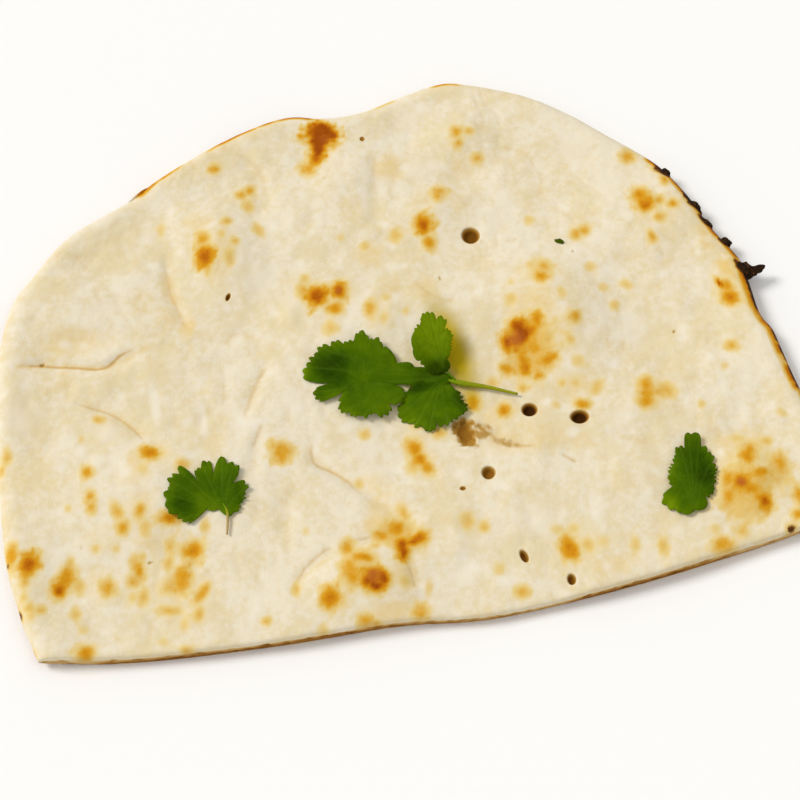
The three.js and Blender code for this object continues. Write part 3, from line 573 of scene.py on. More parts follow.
# %% Toasted spots
# Where each spot is seen: how far across and down the camera's frame, how wide and how high it is there,
# all in pixels, its tilt in degrees and how far it toasted.
SEEN_SPOTS = {
    "far left": [
        (321.8, 133, 29, 24, 0, 1), (318.5, 146, 18, 22, 0, 0.95), (316.4, 157, 13, 22, -15, 0.78),
        (307.5, 168.5, 17, 13, 0, 0.5), (303, 138, 10, 8, 0, 0.35), (333, 145, 10, 12, 0, 0.4),
        (214.6, 168.2, 10, 9, 0, 0.5), (241.4, 193.2, 11, 9, 0, 0.48), (249.5, 188.8, 9, 10, 0, 0.5),
        (247.7, 205.7, 9, 10, 0, 0.36), (258.4, 229.8, 8, 15, 25, 0.36), (227, 222.7, 10, 8, 0, 0.42),
        (221.8, 237, 6, 9, 0, 0.28), (235.2, 243.2, 9, 8, 0, 0.36), (229.8, 259.3, 11, 22, 0, 0.3),
        (203, 241, 13, 14, 0, 0.55), (204.8, 257.5, 19, 20, 0, 0.82), (316.4, 295, 19, 21, 0, 0.88),
        (303.5, 290, 12, 16, 0, 0.4), (338.8, 289.6, 15, 15, 0, 0.86), (334.3, 307.5, 16, 12, 0, 0.66),
        (304.8, 277, 10, 9, 0, 0.3), (370, 307.5, 11, 15, 0, 0.5), (386, 296.8, 9, 8, 0, 0.25),
        (384, 318, 8, 11, 0, 0.25), (330.7, 328, 14, 14, 0, 0.32), (395, 234.3, 12, 14, 0, 0.36),
        (364.6, 245, 11, 9, 0, 0.3), (341.4, 237, 8, 8, 0, 0.2), (160, 228, 9, 15, 0, 0.22),
        (405.6, 310, 7, 8, 0, 0.25)],
    "far middle": [
        (456.3, 133.5, 12, 15, 0, 0.46), (469, 132.5, 12, 8, 0, 0.38), (458, 144, 9, 10, 0, 0.42),
        (477, 156.3, 11, 10, -30, 0.44), (438.9, 191, 17, 11, 0, 0.46), (437.5, 197, 10, 8, 0, 0.42),
        (423.5, 224, 16, 18, 0, 0.86), (429.5, 241, 12, 16, 0, 0.62), (529.3, 217.7, 10, 9, 0, 0.24),
        (576, 233, 11, 11, 0, 0.46), (584.5, 229.5, 11, 11, 0, 0.46), (627.6, 157, 14, 13, -20, 0.5)],
    "far right": [
        (639, 196, 15, 14, 0, 0.66), (645, 206, 17, 16, -40, 0.74), (657.7, 202.4, 11, 9, 0, 0.46),
        (672.4, 205.8, 10, 9, 0, 0.55), (658.6, 218.7, 12, 9, 0, 0.46), (651.7, 237.7, 8, 12, 20, 0.5),
        (664, 181, 10, 12, 0, 0.5), (626.7, 282, 14, 8, -30, 0.28), (614.6, 303, 10, 10, 0, 0.3),
        (731.8, 345.3, 13, 10, 0, 0.46), (724.9, 365, 8, 8, 0, 0.22), (727, 285, 10, 12, 20, 0.5),
        (730, 297, 17, 14, 0, 0.72), (603.5, 285.7, 10, 9, 0, 0.24), (590.3, 265.2, 11, 9, 0, 0.26)],
    "big blister": [
        (518, 326, 19, 14, 10, 0.95), (524, 334, 13, 15, 0, 1), (507, 342, 12, 18, 15, 0.86),
        (515.5, 339.5, 16, 15, 0, 0.8), (536.7, 320, 9, 17, -10, 0.62), (531, 331, 12, 12, 0, 0.72),
        (535, 347, 13, 13, 40, 0.5), (546.3, 359, 17, 10, 15, 0.6), (554, 356, 8, 8, 0, 0.5),
        (506.7, 367, 13, 11, 0, 0.6), (524, 360, 10, 24, 15, 0.62), (526, 368, 11, 13, 0, 0.62),
        (539, 373.8, 13, 9, 0, 0.56), (541, 279, 14, 11, -15, 0.58), (544, 267, 12, 14, 30, 0.4),
        (531, 265, 9, 8, 0, 0.26), (511, 299, 10, 12, 0, 0.3), (561, 295, 8, 12, 10, 0.28),
        (574.9, 318.7, 12, 12, 0, 0.5), (569.8, 340.8, 8, 9, 0, 0.34), (578.5, 360.6, 12, 9, 0, 0.28),
        (549, 339, 12, 9, 0, 0.28), (555, 324, 9, 8, 0, 0.2), (511, 283, 8, 8, 0, 0.2)],
    "middle": [
        (575.6, 381, 9, 9, 0, 0.28), (562, 382, 8, 9, 0, 0.3), (597, 386, 10, 16, -30, 0.32),
        (556.5, 404.6, 9, 9, 0, 0.22), (522.5, 386, 10, 9, 0, 0.42), (492, 381, 10, 8, 0, 0.32),
        (503.9, 409.3, 12, 12, 0, 0.68), (473, 401, 11, 14, 0, 0.7), (439, 431, 11, 9, 0, 0.42),
        (417, 424, 12, 8, 0, 0.28), (414, 445, 13, 14, 30, 0.66), (420, 456, 12, 16, 35, 0.66),
        (427, 466, 13, 14, 35, 0.56), (414, 461, 10, 18, 0, 0.36), (358.3, 481, 8, 9, 0, 0.3),
        (646, 383, 13, 15, 0, 0.54), (648, 393, 12, 12, 0, 0.5), (646.5, 400.5, 15, 12, -20, 0.56),
        (667, 388, 17, 13, 0, 0.38), (658, 390, 12, 8, 0, 0.34), (702, 402.4, 7, 8, 0, 0.28),
        (782.4, 412, 12, 7, -30, 0.22), (364.5, 432, 11, 9, 25, 0.34), (281.5, 451, 20, 22, 0, 0.5),
        (272, 443, 10, 10, 0, 0.3)],
    "near blister": [
        (397, 526, 16, 13, 0, 0.62), (381.5, 533, 15, 8, -15, 0.52), (403, 509.6, 9, 15, 25, 0.38),
        (402, 543, 13, 12, 0, 0.88), (403.5, 552, 9, 16, 0, 0.97), (418.5, 536.5, 17, 9, 20, 0.84),
        (411, 541, 11, 8, 0, 0.8), (347, 547.5, 11, 14, 0, 0.52), (364.3, 558.5, 19, 8, -15, 0.66),
        (349.5, 569, 11, 18, 0, 0.44), (353, 580, 12, 12, 0, 0.5), (373, 578, 18, 16, 0, 0.8),
        (376, 588, 13, 8, 0, 0.97), (384, 580.5, 10, 12, 20, 0.9), (367, 584, 9, 9, 0, 0.85),
        (330.7, 599, 18, 17, 0, 0.7), (405.6, 582, 10, 11, 0, 0.28), (429, 586, 8, 14, 0, 0.22),
        (467.6, 520.8, 12, 16, 0, 0.34), (484, 525.5, 9, 9, 0, 0.38), (375.5, 545, 8, 7, 0, 0.3),
        (267, 619.8, 8, 7, -30, 0.42), (305.8, 529.4, 8, 8, 0, 0.18), (296.3, 588.8, 7, 12, 0, 0.36)],
    "near right": [
        (571.5, 549, 16, 19, 15, 0.68), (588, 544, 10, 12, 0, 0.34), (604, 541, 12, 10, 0, 0.2),
        (499.5, 567, 10, 9, 0, 0.24), (636, 543, 9, 15, 0, 0.3), (663.5, 545, 9, 16, 0, 0.36),
        (715.8, 528, 10, 9, 0, 0.24), (557, 528, 12, 9, 0, 0.22), (574, 527, 11, 9, 0, 0.24)],
    "right halo": [
        (750, 449, 10, 12, -10, 0.5), (746.5, 458, 13, 16, 20, 0.6), (767.4, 439.7, 12, 9, 0, 0.36),
        (781, 462.7, 11, 22, 0, 0.46), (760.5, 473.6, 18, 9, 10, 0.6), (727.8, 478.7, 13, 15, 0, 0.5),
        (741.6, 482.8, 14, 13, 0, 0.86), (752, 489, 17, 9, -15, 0.58), (765.5, 500, 12.5, 12.5, 0, 0.84),
        (728.4, 496, 10, 12, 0, 0.54), (738, 436, 14, 9, 0, 0.26), (771, 482, 10, 8, 0, 0.3)],
    "near left": [
        (98.5, 418.4, 10, 6, -10, 0.4), (81, 438, 5, 8, 0, 0.22), (150.5, 452, 18, 10, -25, 0.72),
        (86.6, 471.8, 10, 10, 0, 0.58), (143, 469.6, 10, 9, 0, 0.22), (182, 465, 11, 9, 0, 0.42),
        (89.8, 496.4, 9, 10, 0, 0.5), (91.4, 508, 8, 12, 0, 0.44), (67.9, 508, 7, 8, 0, 0.22),
        (117, 511.6, 9, 17, 25, 0.44), (140, 512, 9, 14, 0, 0.52), (123, 528.5, 11, 11, 0, 0.56),
        (145, 530, 8, 13, 0, 0.34), (169, 518, 18, 10, 10, 0.72), (204.5, 525, 9, 10, 0, 0.34),
        (7, 456, 9, 12, 0, 0.38), (1, 469, 6, 12, 0, 0.36), (169.6, 545, 9, 13, 0, 0.36),
        (168, 562, 9, 11, 0, 0.36), (194, 549, 15, 15, 0, 0.68), (186, 551, 11, 12, 0, 0.46),
        (11, 556, 11, 21, 0, 0.56), (29, 565, 15, 20, -20, 0.86), (24.5, 580, 9, 14, 0, 0.42),
        (66.5, 574, 14, 17, -15, 0.56), (58.5, 590, 11, 11, 0, 0.84), (62, 582, 12, 12, 0, 0.5),
        (78.5, 584, 10, 12, 15, 0.34), (70, 562, 8, 12, 0, 0.34), (107, 586, 13, 15, 0, 0.5),
        (134, 559, 9, 10, 0, 0.26), (138.6, 569, 9, 16, 15, 0.54), (133, 580, 12, 10, 0, 0.44),
        (143, 594.6, 9, 13, 0, 0.36), (132, 595, 9, 9, 0, 0.24), (182.5, 578, 15, 24, 0, 0.54),
        (170, 586, 16, 12, 0, 0.38), (201, 594, 9, 18, -35, 0.48), (205, 586, 8, 12, -35, 0.36),
        (199, 613, 9, 13, 0, 0.4), (169.6, 609, 21, 8, 0, 0.4), (184, 623, 9, 11, 0, 0.24),
        (75, 612.5, 8, 10, 0, 0.34), (29.5, 608, 12, 8, -20, 0.34), (41, 610, 9, 8, 0, 0.38),
        (31, 616, 8, 7, 0, 0.26), (23, 598, 9, 10, 0, 0.26), (84.8, 652, 14, 12, 0, 0.66),
        (83, 629, 9, 8, 0, 0.2), (163, 640, 9, 8, 0, 0.2), (95.5, 549, 7, 7, 0, 0.28),
        (116, 548, 7, 8, 0, 0.22), (142, 556, 7, 7, 0, 0.3)],
    "golden skin between spots": [
        (531, 346, 46, 54, 0, 0.3), (541, 273, 22, 24, 0, 0.24), (744, 492, 46, 48, 0, 0.3),
        (778, 468, 22, 32, 0, 0.3), (749, 453, 20, 28, 0, 0.32), (394, 532, 36, 22, 0, 0.28),
        (350, 573, 18, 30, 0, 0.28), (362, 560, 30, 22, 0, 0.24)]}
# Spots that were moved afterwards, most of them by the cut: middle x, y, half width, half length,
# turn and how far it toasted.
MOVED_SPOTS = [
    (46.5, -28.5, 1.7, 1.4, 0, 0.6), (-20, -76.2, 1.7, 1.5, 0, 0.52), (-17.5, -77.5, 1.6, 0.9, -25, 0.4),
    (-6.5, -76.5, 2, 2, 0, 0.46), (-30.5, -76.5, 1.3, 1.5, 0, 0.26), (33.5, -65, 1.2, 1.8, 0, 0.5),
    (19.5, -76, 1.7, 1.6, 0, 0.46), (77, -71.5, 1.6, 1.6, 0, 0.36), (71, -74, 2.6, 2, 5, 0.54),
    (92, -70, 1.2, 1.3, 0, 0.6), (94, -65, 1.2, 2.6, 0, 0.6), (99, -62, 1.6, 2.4, 0, 0.5),
    (101, -50, 1.2, 2.2, 0, 0.34), (97, -70, 1.5, 1.2, 0, 0.42), (-64, -75, 1.3, 1.2, 0, 0.42),
    (91.3, -0.6, 0.5, 1.6, 17, 1.05)]
SKIN_HEIGHT = 5.6
PIXEL_ACROSS = CAMERA_DISTANCE * SENSOR / (CAMERA_LENS * FRAME)
PIXEL_DOWN = PIXEL_ACROSS / math.sin(math.radians(CAMERA_HEIGHT))


def spot_on_skin(across, down, wide, high, tilt, strength):
    """The same spot in millimetres on the skin: middle x, y, half width, half length, turn, strength."""
    middle = seen_at(across, down, SKIN_HEIGHT)
    return middle.x, middle.y, wide / 2 * PIXEL_ACROSS, high / 2 * PIXEL_DOWN, tilt + CAMERA_TURN, strength


SPOTS = [spot_on_skin(*seen) for spots in SEEN_SPOTS.values() for seen in spots] + MOVED_SPOTS
SPOT_RAGGED = [(1.3, 0.28), (3.6, 0.26)]
SPOT_SPREAD, SPOT_MERGE, SPOT_STRENGTH = 1.24, 3, 1.06
GLOW, GLOW_WIDTH = 0.1, 3.2


def spots_on(x, y, spots, ragged):
    """How toasted each place is: spots fade out softly, melt together and share a golden glow."""
    core, plain = np.zeros(len(x)), np.ones(len(x))
    for middle_x, middle_y, width, length, turn, strength in spots:
        out = oval(x, y, middle_x, middle_y, width, length, turn) * ragged
        steep = max(2, (width + length) / 2)
        core += (SPOT_STRENGTH * strength * np.exp(-((out / SPOT_SPREAD) ** steep))) ** SPOT_MERGE
        away = np.hypot(x - middle_x, y - middle_y)
        plain *= 1 - GLOW * strength * np.exp(-((away / GLOW_WIDTH) ** 2))
    return 1 - (1 - clamp01(core ** (1 / SPOT_MERGE))) * plain


ragged = 1 + sum(rise * grain(x, y, size, 2) for size, rise in SPOT_RAGGED)
toast = spots_on(x, y, SPOTS, ragged)
print(len(SPOTS), "spots, the darkest", round(float(toast.max()), 2))

# %% [markdown]
# ## Yellowed skin, scorched rim and dark holes
#
# Round the spots and in the folds the skin is thin and yellowish, with no flour on it. Along the rim
# a thin line is brown to black, strongest where lumps charred; on the far and the left rim it is
# partly painted shadow under the rim. These go into more channels of colour attributes: red, green
# and blue of "marks" hold toast, char with that painted shadow, and yellow; those of "zones" hold
# the holes, the cut face and the underside.

# %% Yellow skin
# middle x, y, half width, half length, turn, how yellow
YELLOWED = [(11.6, 53.7, 7, 6, 0, 0.45), (32, 50.5, 9, 5, 0, 0.35), (48.5, 52, 5, 4, 0, 0.25),
            (-1, 43, 6, 5, 0, 0.3), (42, -3, 10, 17, 10, 0.4), (36, -15, 8, 7, 0, 0.45),
            (47, -23, 8, 5, 0, 0.4), (-12, -51.5, 6, 4, 0, 0.6), (-19, -61, 6, 8, 0, 0.4),
            (-5, -53, 7, 6, 0, 0.3), (83.5, -57, 11, 14, 0, 0.62), (80, -63, 6, 6, 0, 0.6),
            (92.5, 16, 4, 9, -20, 0.5), (95, 3, 4, 7, 0, 0.75), (-53, 26, 3, 10, 10, 0.4),
            (-50.5, 15, 3, 4, 0, 0.55), (-55, 19, 7, 6, 0, 0.3), (-82, 14, 13, 4, 0, 0.35),
            (-95, -20, 9, 12, 0, 0.25), (-60, -58, 8, 8, 0, 0.28), (-70, -54, 8, 6, 0, 0.2),
            (-13, 14, 9, 9, 0, 0.25), (-6, 60, 8, 9, 0, 0.25), (-40, 37, 8, 9, 0, 0.2),
            (80, 26, 9, 9, 0, 0.3), (65, -27, 7, 7, 0, 0.22), (3, -36, 6, 9, 20, 0.28),
            (35, -67, 7, 7, 0, 0.25), (-46, 66, 10, 5, 25, 0.25), (62, 46, 9, 9, 0, 0.2),
            (75, 8, 9, 12, 0, 0.15), (5, -17, 12, 5, 0, 0.15), (20, 70, 12, 6, 0, 0.2),
            (-81, 16, 12, 6, 0, 0.42), (-85, 5, 6, 5, 0, 0.3), (-61, 25, 5, 6, 0, 0.28),
            (-39, 35, 7, 9, 0, 0.46), (-68, -22, 6, 6, 0, 0.46), (-70, -35, 6, 7, 0, 0.36),
            (-70, -45, 6, 5, 0, 0.3), (-81, -42, 5, 6, 0, 0.28), (-82, -53, 6, 6, 0, 0.3),
            (-25, -69, 6, 6, 0, 0.34), (-10, -46, 6, 6, 0, 0.4), (-14, -75, 9, 4, 0, 0.46),
            (18, 41, 5, 5, 0, 0.26), (29, 39, 5, 5, 0, 0.26), (0, 7, 6, 6, 0, 0.3),
            (24, -35, 7, 5, -15, 0.42), (34, -37, 5, 4, 0, 0.32), (43, -39, 5, 4, 0, 0.3),
            (50, -52, 6, 6, 0, 0.28), (38, -14, 8, 7, 0, 0.55), (103, -15, 3, 6, 0, 0.5),
            (92, -19, 5, 5, 0, 0.26), (70, -62, 6, 5, 0, 0.34), (44, -74, 8, 4, 0, 0.4),
            (-42, 44, 5, 6, 0, 0.4), (1, 27, 6, 6, 0, 0.4), (4, 15, 5, 5, 0, 0.34), (13, 13, 5, 6, 0, 0.4),
            (-70, -26, 7, 5, 0, 0.34), (-48, -20, 5, 5, 0, 0.26), (24, -28, 6, 6, 0, 0.4),
            (-8, -66, 5, 7, 0, 0.5), (103, -48, 3, 7, 0, 0.5), (78, -66, 6, 6, 0, 0.4),
            (99, -2, 3, 8, 0, 0.4), (-11, -40, 6, 5, 0, 0.34), (38, -36, 6, 4, 0, 0.3),
            (41, 13, 6, 6, 0, 0.3), (60, 28, 6, 6, 0, 0.26), (65, -60, 6, 5, 0, 0.26),
            (-3, -57, 5, 7, 0, 0.4), (32, -33, 7, 4, -15, 0.3)]
# floury places, which are paler than the rest: middle x, y, half width, half length, turn, how floury
FLOURED = [(-69, 53, 6, 5, 40, 0.8), (-29, 25, 6, 6, 0, 0.7), (-21, 17, 5, 7, 0, 0.5), (21, 27, 4, 5, 0, 0.5),
           (28, -59, 6, 6, 0, 0.6), (-97, -4, 4, 7, 0, 0.5), (-62, -7, 1.6, 8, 0, 0.9),
           (-50.5, -13, 1.4, 7, 0, 0.9), (-41, -15, 2, 5, 10, 0.8), (66, -8, 4, 8, 0, 0.5),
           (20, 52, 5, 6, 0, 0.5), (-76, -12, 4, 6, 30, 0.5), (57, -34, 5, 3, 0, 0.5), (8, -67, 4, 5, 0, 0.4)]
# the large browned bubbles have a dull, pinkish brown skin in their middle
SCABS = [(33.8, -6.2, 1.9, 2.1, 0, 1), (-16, -65.5, 1.5, 1.7, 0, 1), (80.3, -58.8, 1.2, 1.2, 0, 0.9),
         (-9.2, 17.8, 1, 1.1, 0, 0.7), (-3.8, 67, 1.6, 1.6, 0, 0.4)]
# where a patch ends, as a share of its size, and over how much of it the patch fades
YELLOW_SPREAD, FLOUR_SPREAD, SCAB_SPREAD = (1.4, 1.2), (1.5, 1.4), (1.6, 1.3)
FLOUR_DUST, DUSTY_PLACES = 0.9, (5, 3, 9.0)
CREASE_YELLOW, CREASE_YELLOW_WIDTH = 0.43, 0.55
CUT_YELLOW, CUT_YELLOW_WIDTH = 0.18, 3.5


def strongest(x, y, patches, spread, ragged=1):
    """How strong the strongest of a list of soft oval patches is at each place."""
    edge, fade = spread
    mark = np.zeros(len(x))
    for *place, strength in patches:
        mark = np.maximum(mark, strength * smooth((edge - oval(x, y, *place) * ragged) / fade))
    return mark


yellow = strongest(x, y, YELLOWED, YELLOW_SPREAD, ragged)
for width, depth, line in CREASES:
    if depth > 0:
        across = to_line(x, y, np.array(line, float))[0] / (CREASE_YELLOW_WIDTH * width)
        yellow = np.maximum(yellow, CREASE_YELLOW * depth * np.exp(-(across**2)))
yellow = np.maximum(yellow, CUT_YELLOW * np.exp(-((cut_gap / CUT_YELLOW_WIDTH) ** 2)))
flour = FLOUR_DUST * clamp01(grain(x, y, *DUSTY_PLACES))
flour = np.maximum(flour, strongest(x, y, FLOURED, FLOUR_SPREAD, ragged))
folds = fold_marks(x, y)
scabs = strongest(x, y, SCABS, SCAB_SPREAD, ragged)
print("yellowed share of the mesh:", round(float((yellow > 0.2).mean()), 2))

# %% Scorched rim, with painted shadow
# where on the rim each scorched line starts and ends, its width in mm, how toasted and how charred; the first
# two, on the far rim left of the middle, are charred edge and painted shadow under it
SCORCH_AND_SHADE_LINES = [((-56, 60), (-46, 66), 1.1, 0.7, 0.3), ((-35, 71), (-7, 76), 1.2, 0.85, 0.5),
            ((31, 80.4), (36, 79.7), 1.2, 0.7, 0.1), ((13, 77), (16, 78), 1.1, 0.3, 0),
            ((84.5, 42.3), (92, 27), 1.5, 0.85, 0.7), ((92, 27), (100, 8), 1.4, 0.85, 0.6),
            ((99.7, 4), (99.9, -9), 1.9, 0.9, 0.95), ((99.9, -9), (101.6, -16), 1.7, 0.85, 0.5),
            ((101.6, -16), (103.2, -34), 1.7, 0.9, 0.78), ((103.2, -34), (104.5, -62), 1.2, 0.5, 0.12)]
# middle x, y, half width, half length, turn, how charred; the three on the left rim are dark marks that are
# partly char and partly painted shadow under the rim
CHAR_AND_SHADE_SPOTS = [(86.6, 37.6, 2.6, 1.8, -50, 0.9), (91.2, 26.4, 3.4, 1.1, -68, 1),
              (93.2, 19.6, 2.2, 1, -60, 0.95), (96.6, 12.4, 1.7, 1.2, -40, 0.9),
              (99, 2.6, 2.8, 1.4, -60, 1), (89.3, -73.2, 1, 0.8, 0, 0.7),
              (-104.2, -44, 0.6, 1, 0, 0.5), (34.2, 79.6, 1.2, 0.7, 0, 0.15),
              (-102.6, -57.5, 0.5, 1.5, 10, 0.5), (-100.8, -67.4, 0.5, 2.2, 18, 0.42),
              (102.4, -30, 0.6, 0.6, 0, 0.5)]
SCORCH_FADE = 0.008
SCORCH_MEAN, SCORCH_CHANGE, SCORCH_PATCH = 0.92, 0.5, 3.2
# how far from the rim toast and char reach and over how much they fade, as shares of the line's width
TOAST_REACH, TOAST_FADE = 2.2, 1.4
CHAR_REACH, CHAR_FADE = 1.15, 0.75
LUMP_HALO, LUMP_HALO_SIZE = 0.6, 1.25
# char, with the painted shadow under the far and the left rim
char = np.zeros(len(x))
patchy_scorch = clamp01(SCORCH_MEAN + SCORCH_CHANGE * grain(x, y, SCORCH_PATCH, 2))
for start, end, width, browned, burnt_and_shaded in SCORCH_AND_SHADE_LINES:
    ends = to_line(np.array([start[0], end[0]], float), np.array([start[1], end[1]], float), rim_line)[1]
    inside = smooth((rim_share - ends.min() + SCORCH_FADE) / SCORCH_FADE)
    inside = inside * smooth((ends.max() + SCORCH_FADE - rim_share) / SCORCH_FADE)
    toast_band = smooth((TOAST_REACH * width - rim_gap) / (TOAST_FADE * width))
    char_band = smooth((CHAR_REACH * width - rim_gap) / (CHAR_FADE * width))
    toast = np.maximum(toast, browned * inside * toast_band * patchy_scorch)
    char = np.maximum(char, burnt_and_shaded * inside * char_band * patchy_scorch)
char = np.maximum(char, spots_on(x, y, CHAR_AND_SHADE_SPOTS, ragged))
halos = [(*place, LUMP_HALO_SIZE * width, LUMP_HALO_SIZE * length, turn, burnt_and_shaded)
         for *place, width, length, turn, burnt_and_shaded in CHAR_AND_SHADE_SPOTS]
toast = np.maximum(toast, LUMP_HALO * spots_on(x, y, halos, ragged))
print("charred share of the mesh:", round(float((char > 0.5).mean()), 4))

# %% Holes, cut face and underside
HOLE_SPREAD, PRICK_SPREAD, TORN_SPREAD = (1.18, 0.55), (1.25, 0.6), (1.3, 0.7)
BURST_FADE = 0.9
SHRED_MEAN, SHRED_CHANGE, SHRED_SIZE = 0.85, 0.8, 1.4
CUT_TOP, CUT_TOP_WIDTH = 0.1, 1
# how the cut darkens downwards, in browned crust and painted shade under its edge, how fast the
# underside's brown ends up the walls, and how far down from the top the toast and the char reach: 1 is
# the top and 0 the underside
CUT_BROWN_AND_SHADE_DOWN, UNDER_FADE, TOAST_FROM, CHAR_FROM = 0.9, 1.6, 0.4, 0.15
# how dark the cut is from its left end to its right, by x: browned crust and painted shade under its edge
CUT_BROWN_AND_SHADE_BY_X = [(-101, 0.36), (-87, 0.38), (-83, 0.8), (-60, 0.95), (-20, 0.85), (10, 0.7), (22, 0.5),
             (30, 0.52), (35, 1), (57, 1), (66, 0.8), (76, 0.5), (101, 0.45)]
# the torn skin, mouth and tail of the burst blister: middle x, y, half width, half length, turn, how dark
TORN_PLACES = [(19.4, -31.2, 2.8, 2.6, 0, 0.4), (15.6, -29.4, 2.6, 3.4, 10, 0.62),
               (24.6, -35.6, 4, 1.3, -26, 0.3)]
# painted light: middle x, y, half width, half length and turn of the yellow-green light that the standing
# blade throws on the bread, painted into its colour
LEAF_LIGHT = (16.8, -6, 3.2, 10.6, 7)
LEAF_LIGHT_EDGE, LEAF_LIGHT_FADE = 2.2, 1.7

burst = BURST_PIT[5] * smooth((BURST_MOUTH - torn_oval(x, y, BURST_PIT[:5])) / BURST_FADE)
shreds = clamp01(SHRED_MEAN + SHRED_CHANGE * grain(x, y, SHRED_SIZE, 2))
torn = shreds * strongest(x, y, TORN_PLACES, TORN_SPREAD)
hole = np.maximum(strongest(x, y, DOCKING_HOLES, HOLE_SPREAD), strongest(x, y, PINPRICKS, PRICK_SPREAD))
hole = np.maximum(hole, np.maximum(burst, torn))
# painted light: the yellow-green light that the standing blade of the sprig throws on the bread beside it,
# painted into the bread's colour
leaf_light = smooth((LEAF_LIGHT_EDGE - oval(x, y, *LEAF_LIGHT)) / LEAF_LIGHT_FADE)
# the cut face darkens to its foot, in browned crust and painted shade under the edge; beside it the top is a
# little tan, partly painted shade where it rolls away from the light
cut_brown_and_shade = np.interp(x, [place for place, _ in CUT_BROWN_AND_SHADE_BY_X], [brown for _, brown in CUT_BROWN_AND_SHADE_BY_X])
cut_top = CUT_TOP * np.exp(-((cut_gap / CUT_TOP_WIDTH) ** 2)) * clamp01(rim_gap / 2)
cut_face = np.where(is_cut, CUT_TOP + (1 - CUT_TOP) * (1 - up) ** CUT_BROWN_AND_SHADE_DOWN,
                    np.where(is_top, cut_top, 0))
cut_face = cut_face * cut_brown_and_shade
underside = np.where(is_top, 0, np.where(on_edge, 1 - clamp01(up * UNDER_FADE), 1))
underside = np.where(is_cut & is_wall, 0, underside)
inside_of_holes = (hole > 0) & is_top
hole = np.where(is_top, hole, 0)
marks = np.column_stack([np.where(up > TOAST_FROM, toast, 0), np.where(up > CHAR_FROM, char, 0),
                         np.where(is_top, yellow, 0), np.ones(len(x))])
lines = np.column_stack([np.where(is_top, folds, 0), np.where(is_top, scabs, 0), np.where(is_top, flour, 0),
                         np.where(is_top, leaf_light, 0)])
zones = np.column_stack([hole, cut_face, underside, np.ones(len(x))])
print("points in holes:", int(inside_of_holes.sum()))

# %% [markdown]
# ## From bmesh to an object
#
# A bmesh is a workbench. The finished shape goes into a mesh, its attributes are written in one go,
# and the object stands at the origin with its place in the mesh, as the CAD nodes do.

# %% Finish a piece
def set_colours(mesh, name, values):
    attribute = mesh.attributes.new(name, "FLOAT_COLOR", "POINT")
    attribute.data.foreach_set("color", np.asarray(values, np.float32).ravel())


def finish_piece(bm, name, slot, *nodes, attributes=None):
    """Turns a bmesh in millimetres into a smooth object in metres that rides on the body."""
    bmesh.ops.scale(bm, vec=(MM, MM, MM), verts=bm.verts[:])
    mesh = bpy.data.meshes.new(name)
    bm.to_mesh(mesh)
    bm.free()
    mesh.polygons.foreach_set("use_smooth", [True] * len(mesh.polygons))
    for layer, values in (attributes or {}).items():
        set_colours(mesh, layer, values)
    piece = bpy.data.objects.new(name, mesh)
    bpy.context.collection.objects.link(piece)
    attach(piece, "root")
    if nodes:
        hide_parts(*nodes)
    triangles = sum(len(p.vertices) - 2 for p in mesh.polygons)
    print(name, "has", triangles, "triangles")
    return piece


naan = finish_piece(dough, "naan_half_baked", "bread", "naan_half",
                    attributes={"marks": marks, "zones": zones, "lines": lines})

# %% [markdown]
# ## Charred lumps on the rim
#
# Where the rim touched the hottest clay, bubbles burnt to black, crumbly lumps. Each starts as an
# icosphere, whose triangles are all alike, so that noise can push its points in and out evenly.

# %% Charred lumps
# middle x, y, z, half length, half width, half height, turn
CRAGS = [(86.4, 37.4, 4, 2.1, 1.5, 1.4, -50), (91.6, 25.2, 4, 3.1, 1.3, 1.4, -66),
         (93.6, 19.2, 3.8, 2.2, 1, 1.2, -62), (97.2, 12.4, 3.8, 1.7, 1.5, 1.4, -40),
         (99.4, 2.6, 4, 3, 2.2, 1.9, -60), (102.3, 2.2, 4.2, 2.4, 1.3, 1.2, 8)]
CRAG_LUMPS = [(2.1, 0.42), (0.8, 0.14)]


def charred_lumps():
    lumps = bmesh.new()
    for x0, y0, z0, length, width, thickness, turn in CRAGS:
        ball = bmesh.ops.create_icosphere(lumps, subdivisions=4, radius=1)["verts"]
        for vert in ball:
            place = Vector((vert.co.x * length, vert.co.y * width, vert.co.z * thickness))
            for size, rise in CRAG_LUMPS:
                vert.co *= 1 + rise * noise.fractal(place / size + Vector((x0, y0, z0)), 1, 2, 2)
        shape = (Matrix.Translation((x0, y0, z0)) @ Matrix.Rotation(math.radians(turn), 4, "Z")
                 @ Matrix.Diagonal((length, width, thickness, 1)))
        bmesh.ops.transform(lumps, matrix=shape, verts=ball)
    return lumps


lumps = finish_piece(charred_lumps(), "charred_rim_lumps", "bread", "naan_half")

# %% [markdown]
# ## Coriander blades
#
# A coriander leaf is a fan of lobes with blunt teeth, about a third of a millimetre thick. Each lobe
# is given as its heading from the middle, how far it reaches and half its width in degrees. In every
# direction the longest lobe makes the edge, and small teeth are cut into it. A disc of triangles is
# drawn out to that outline, folded along the midrib, laid over the bread's own heights, and given its
# thickness with solidify.

# %% Blade outlines
LOBE_BLUNTNESS = 3
SMALL_TEETH = 0.12
TEETH_UNEVEN = 0.35
PLAIN_FADE = 8
SPINE_WIDTH = 5
CLEARANCE = 0.75
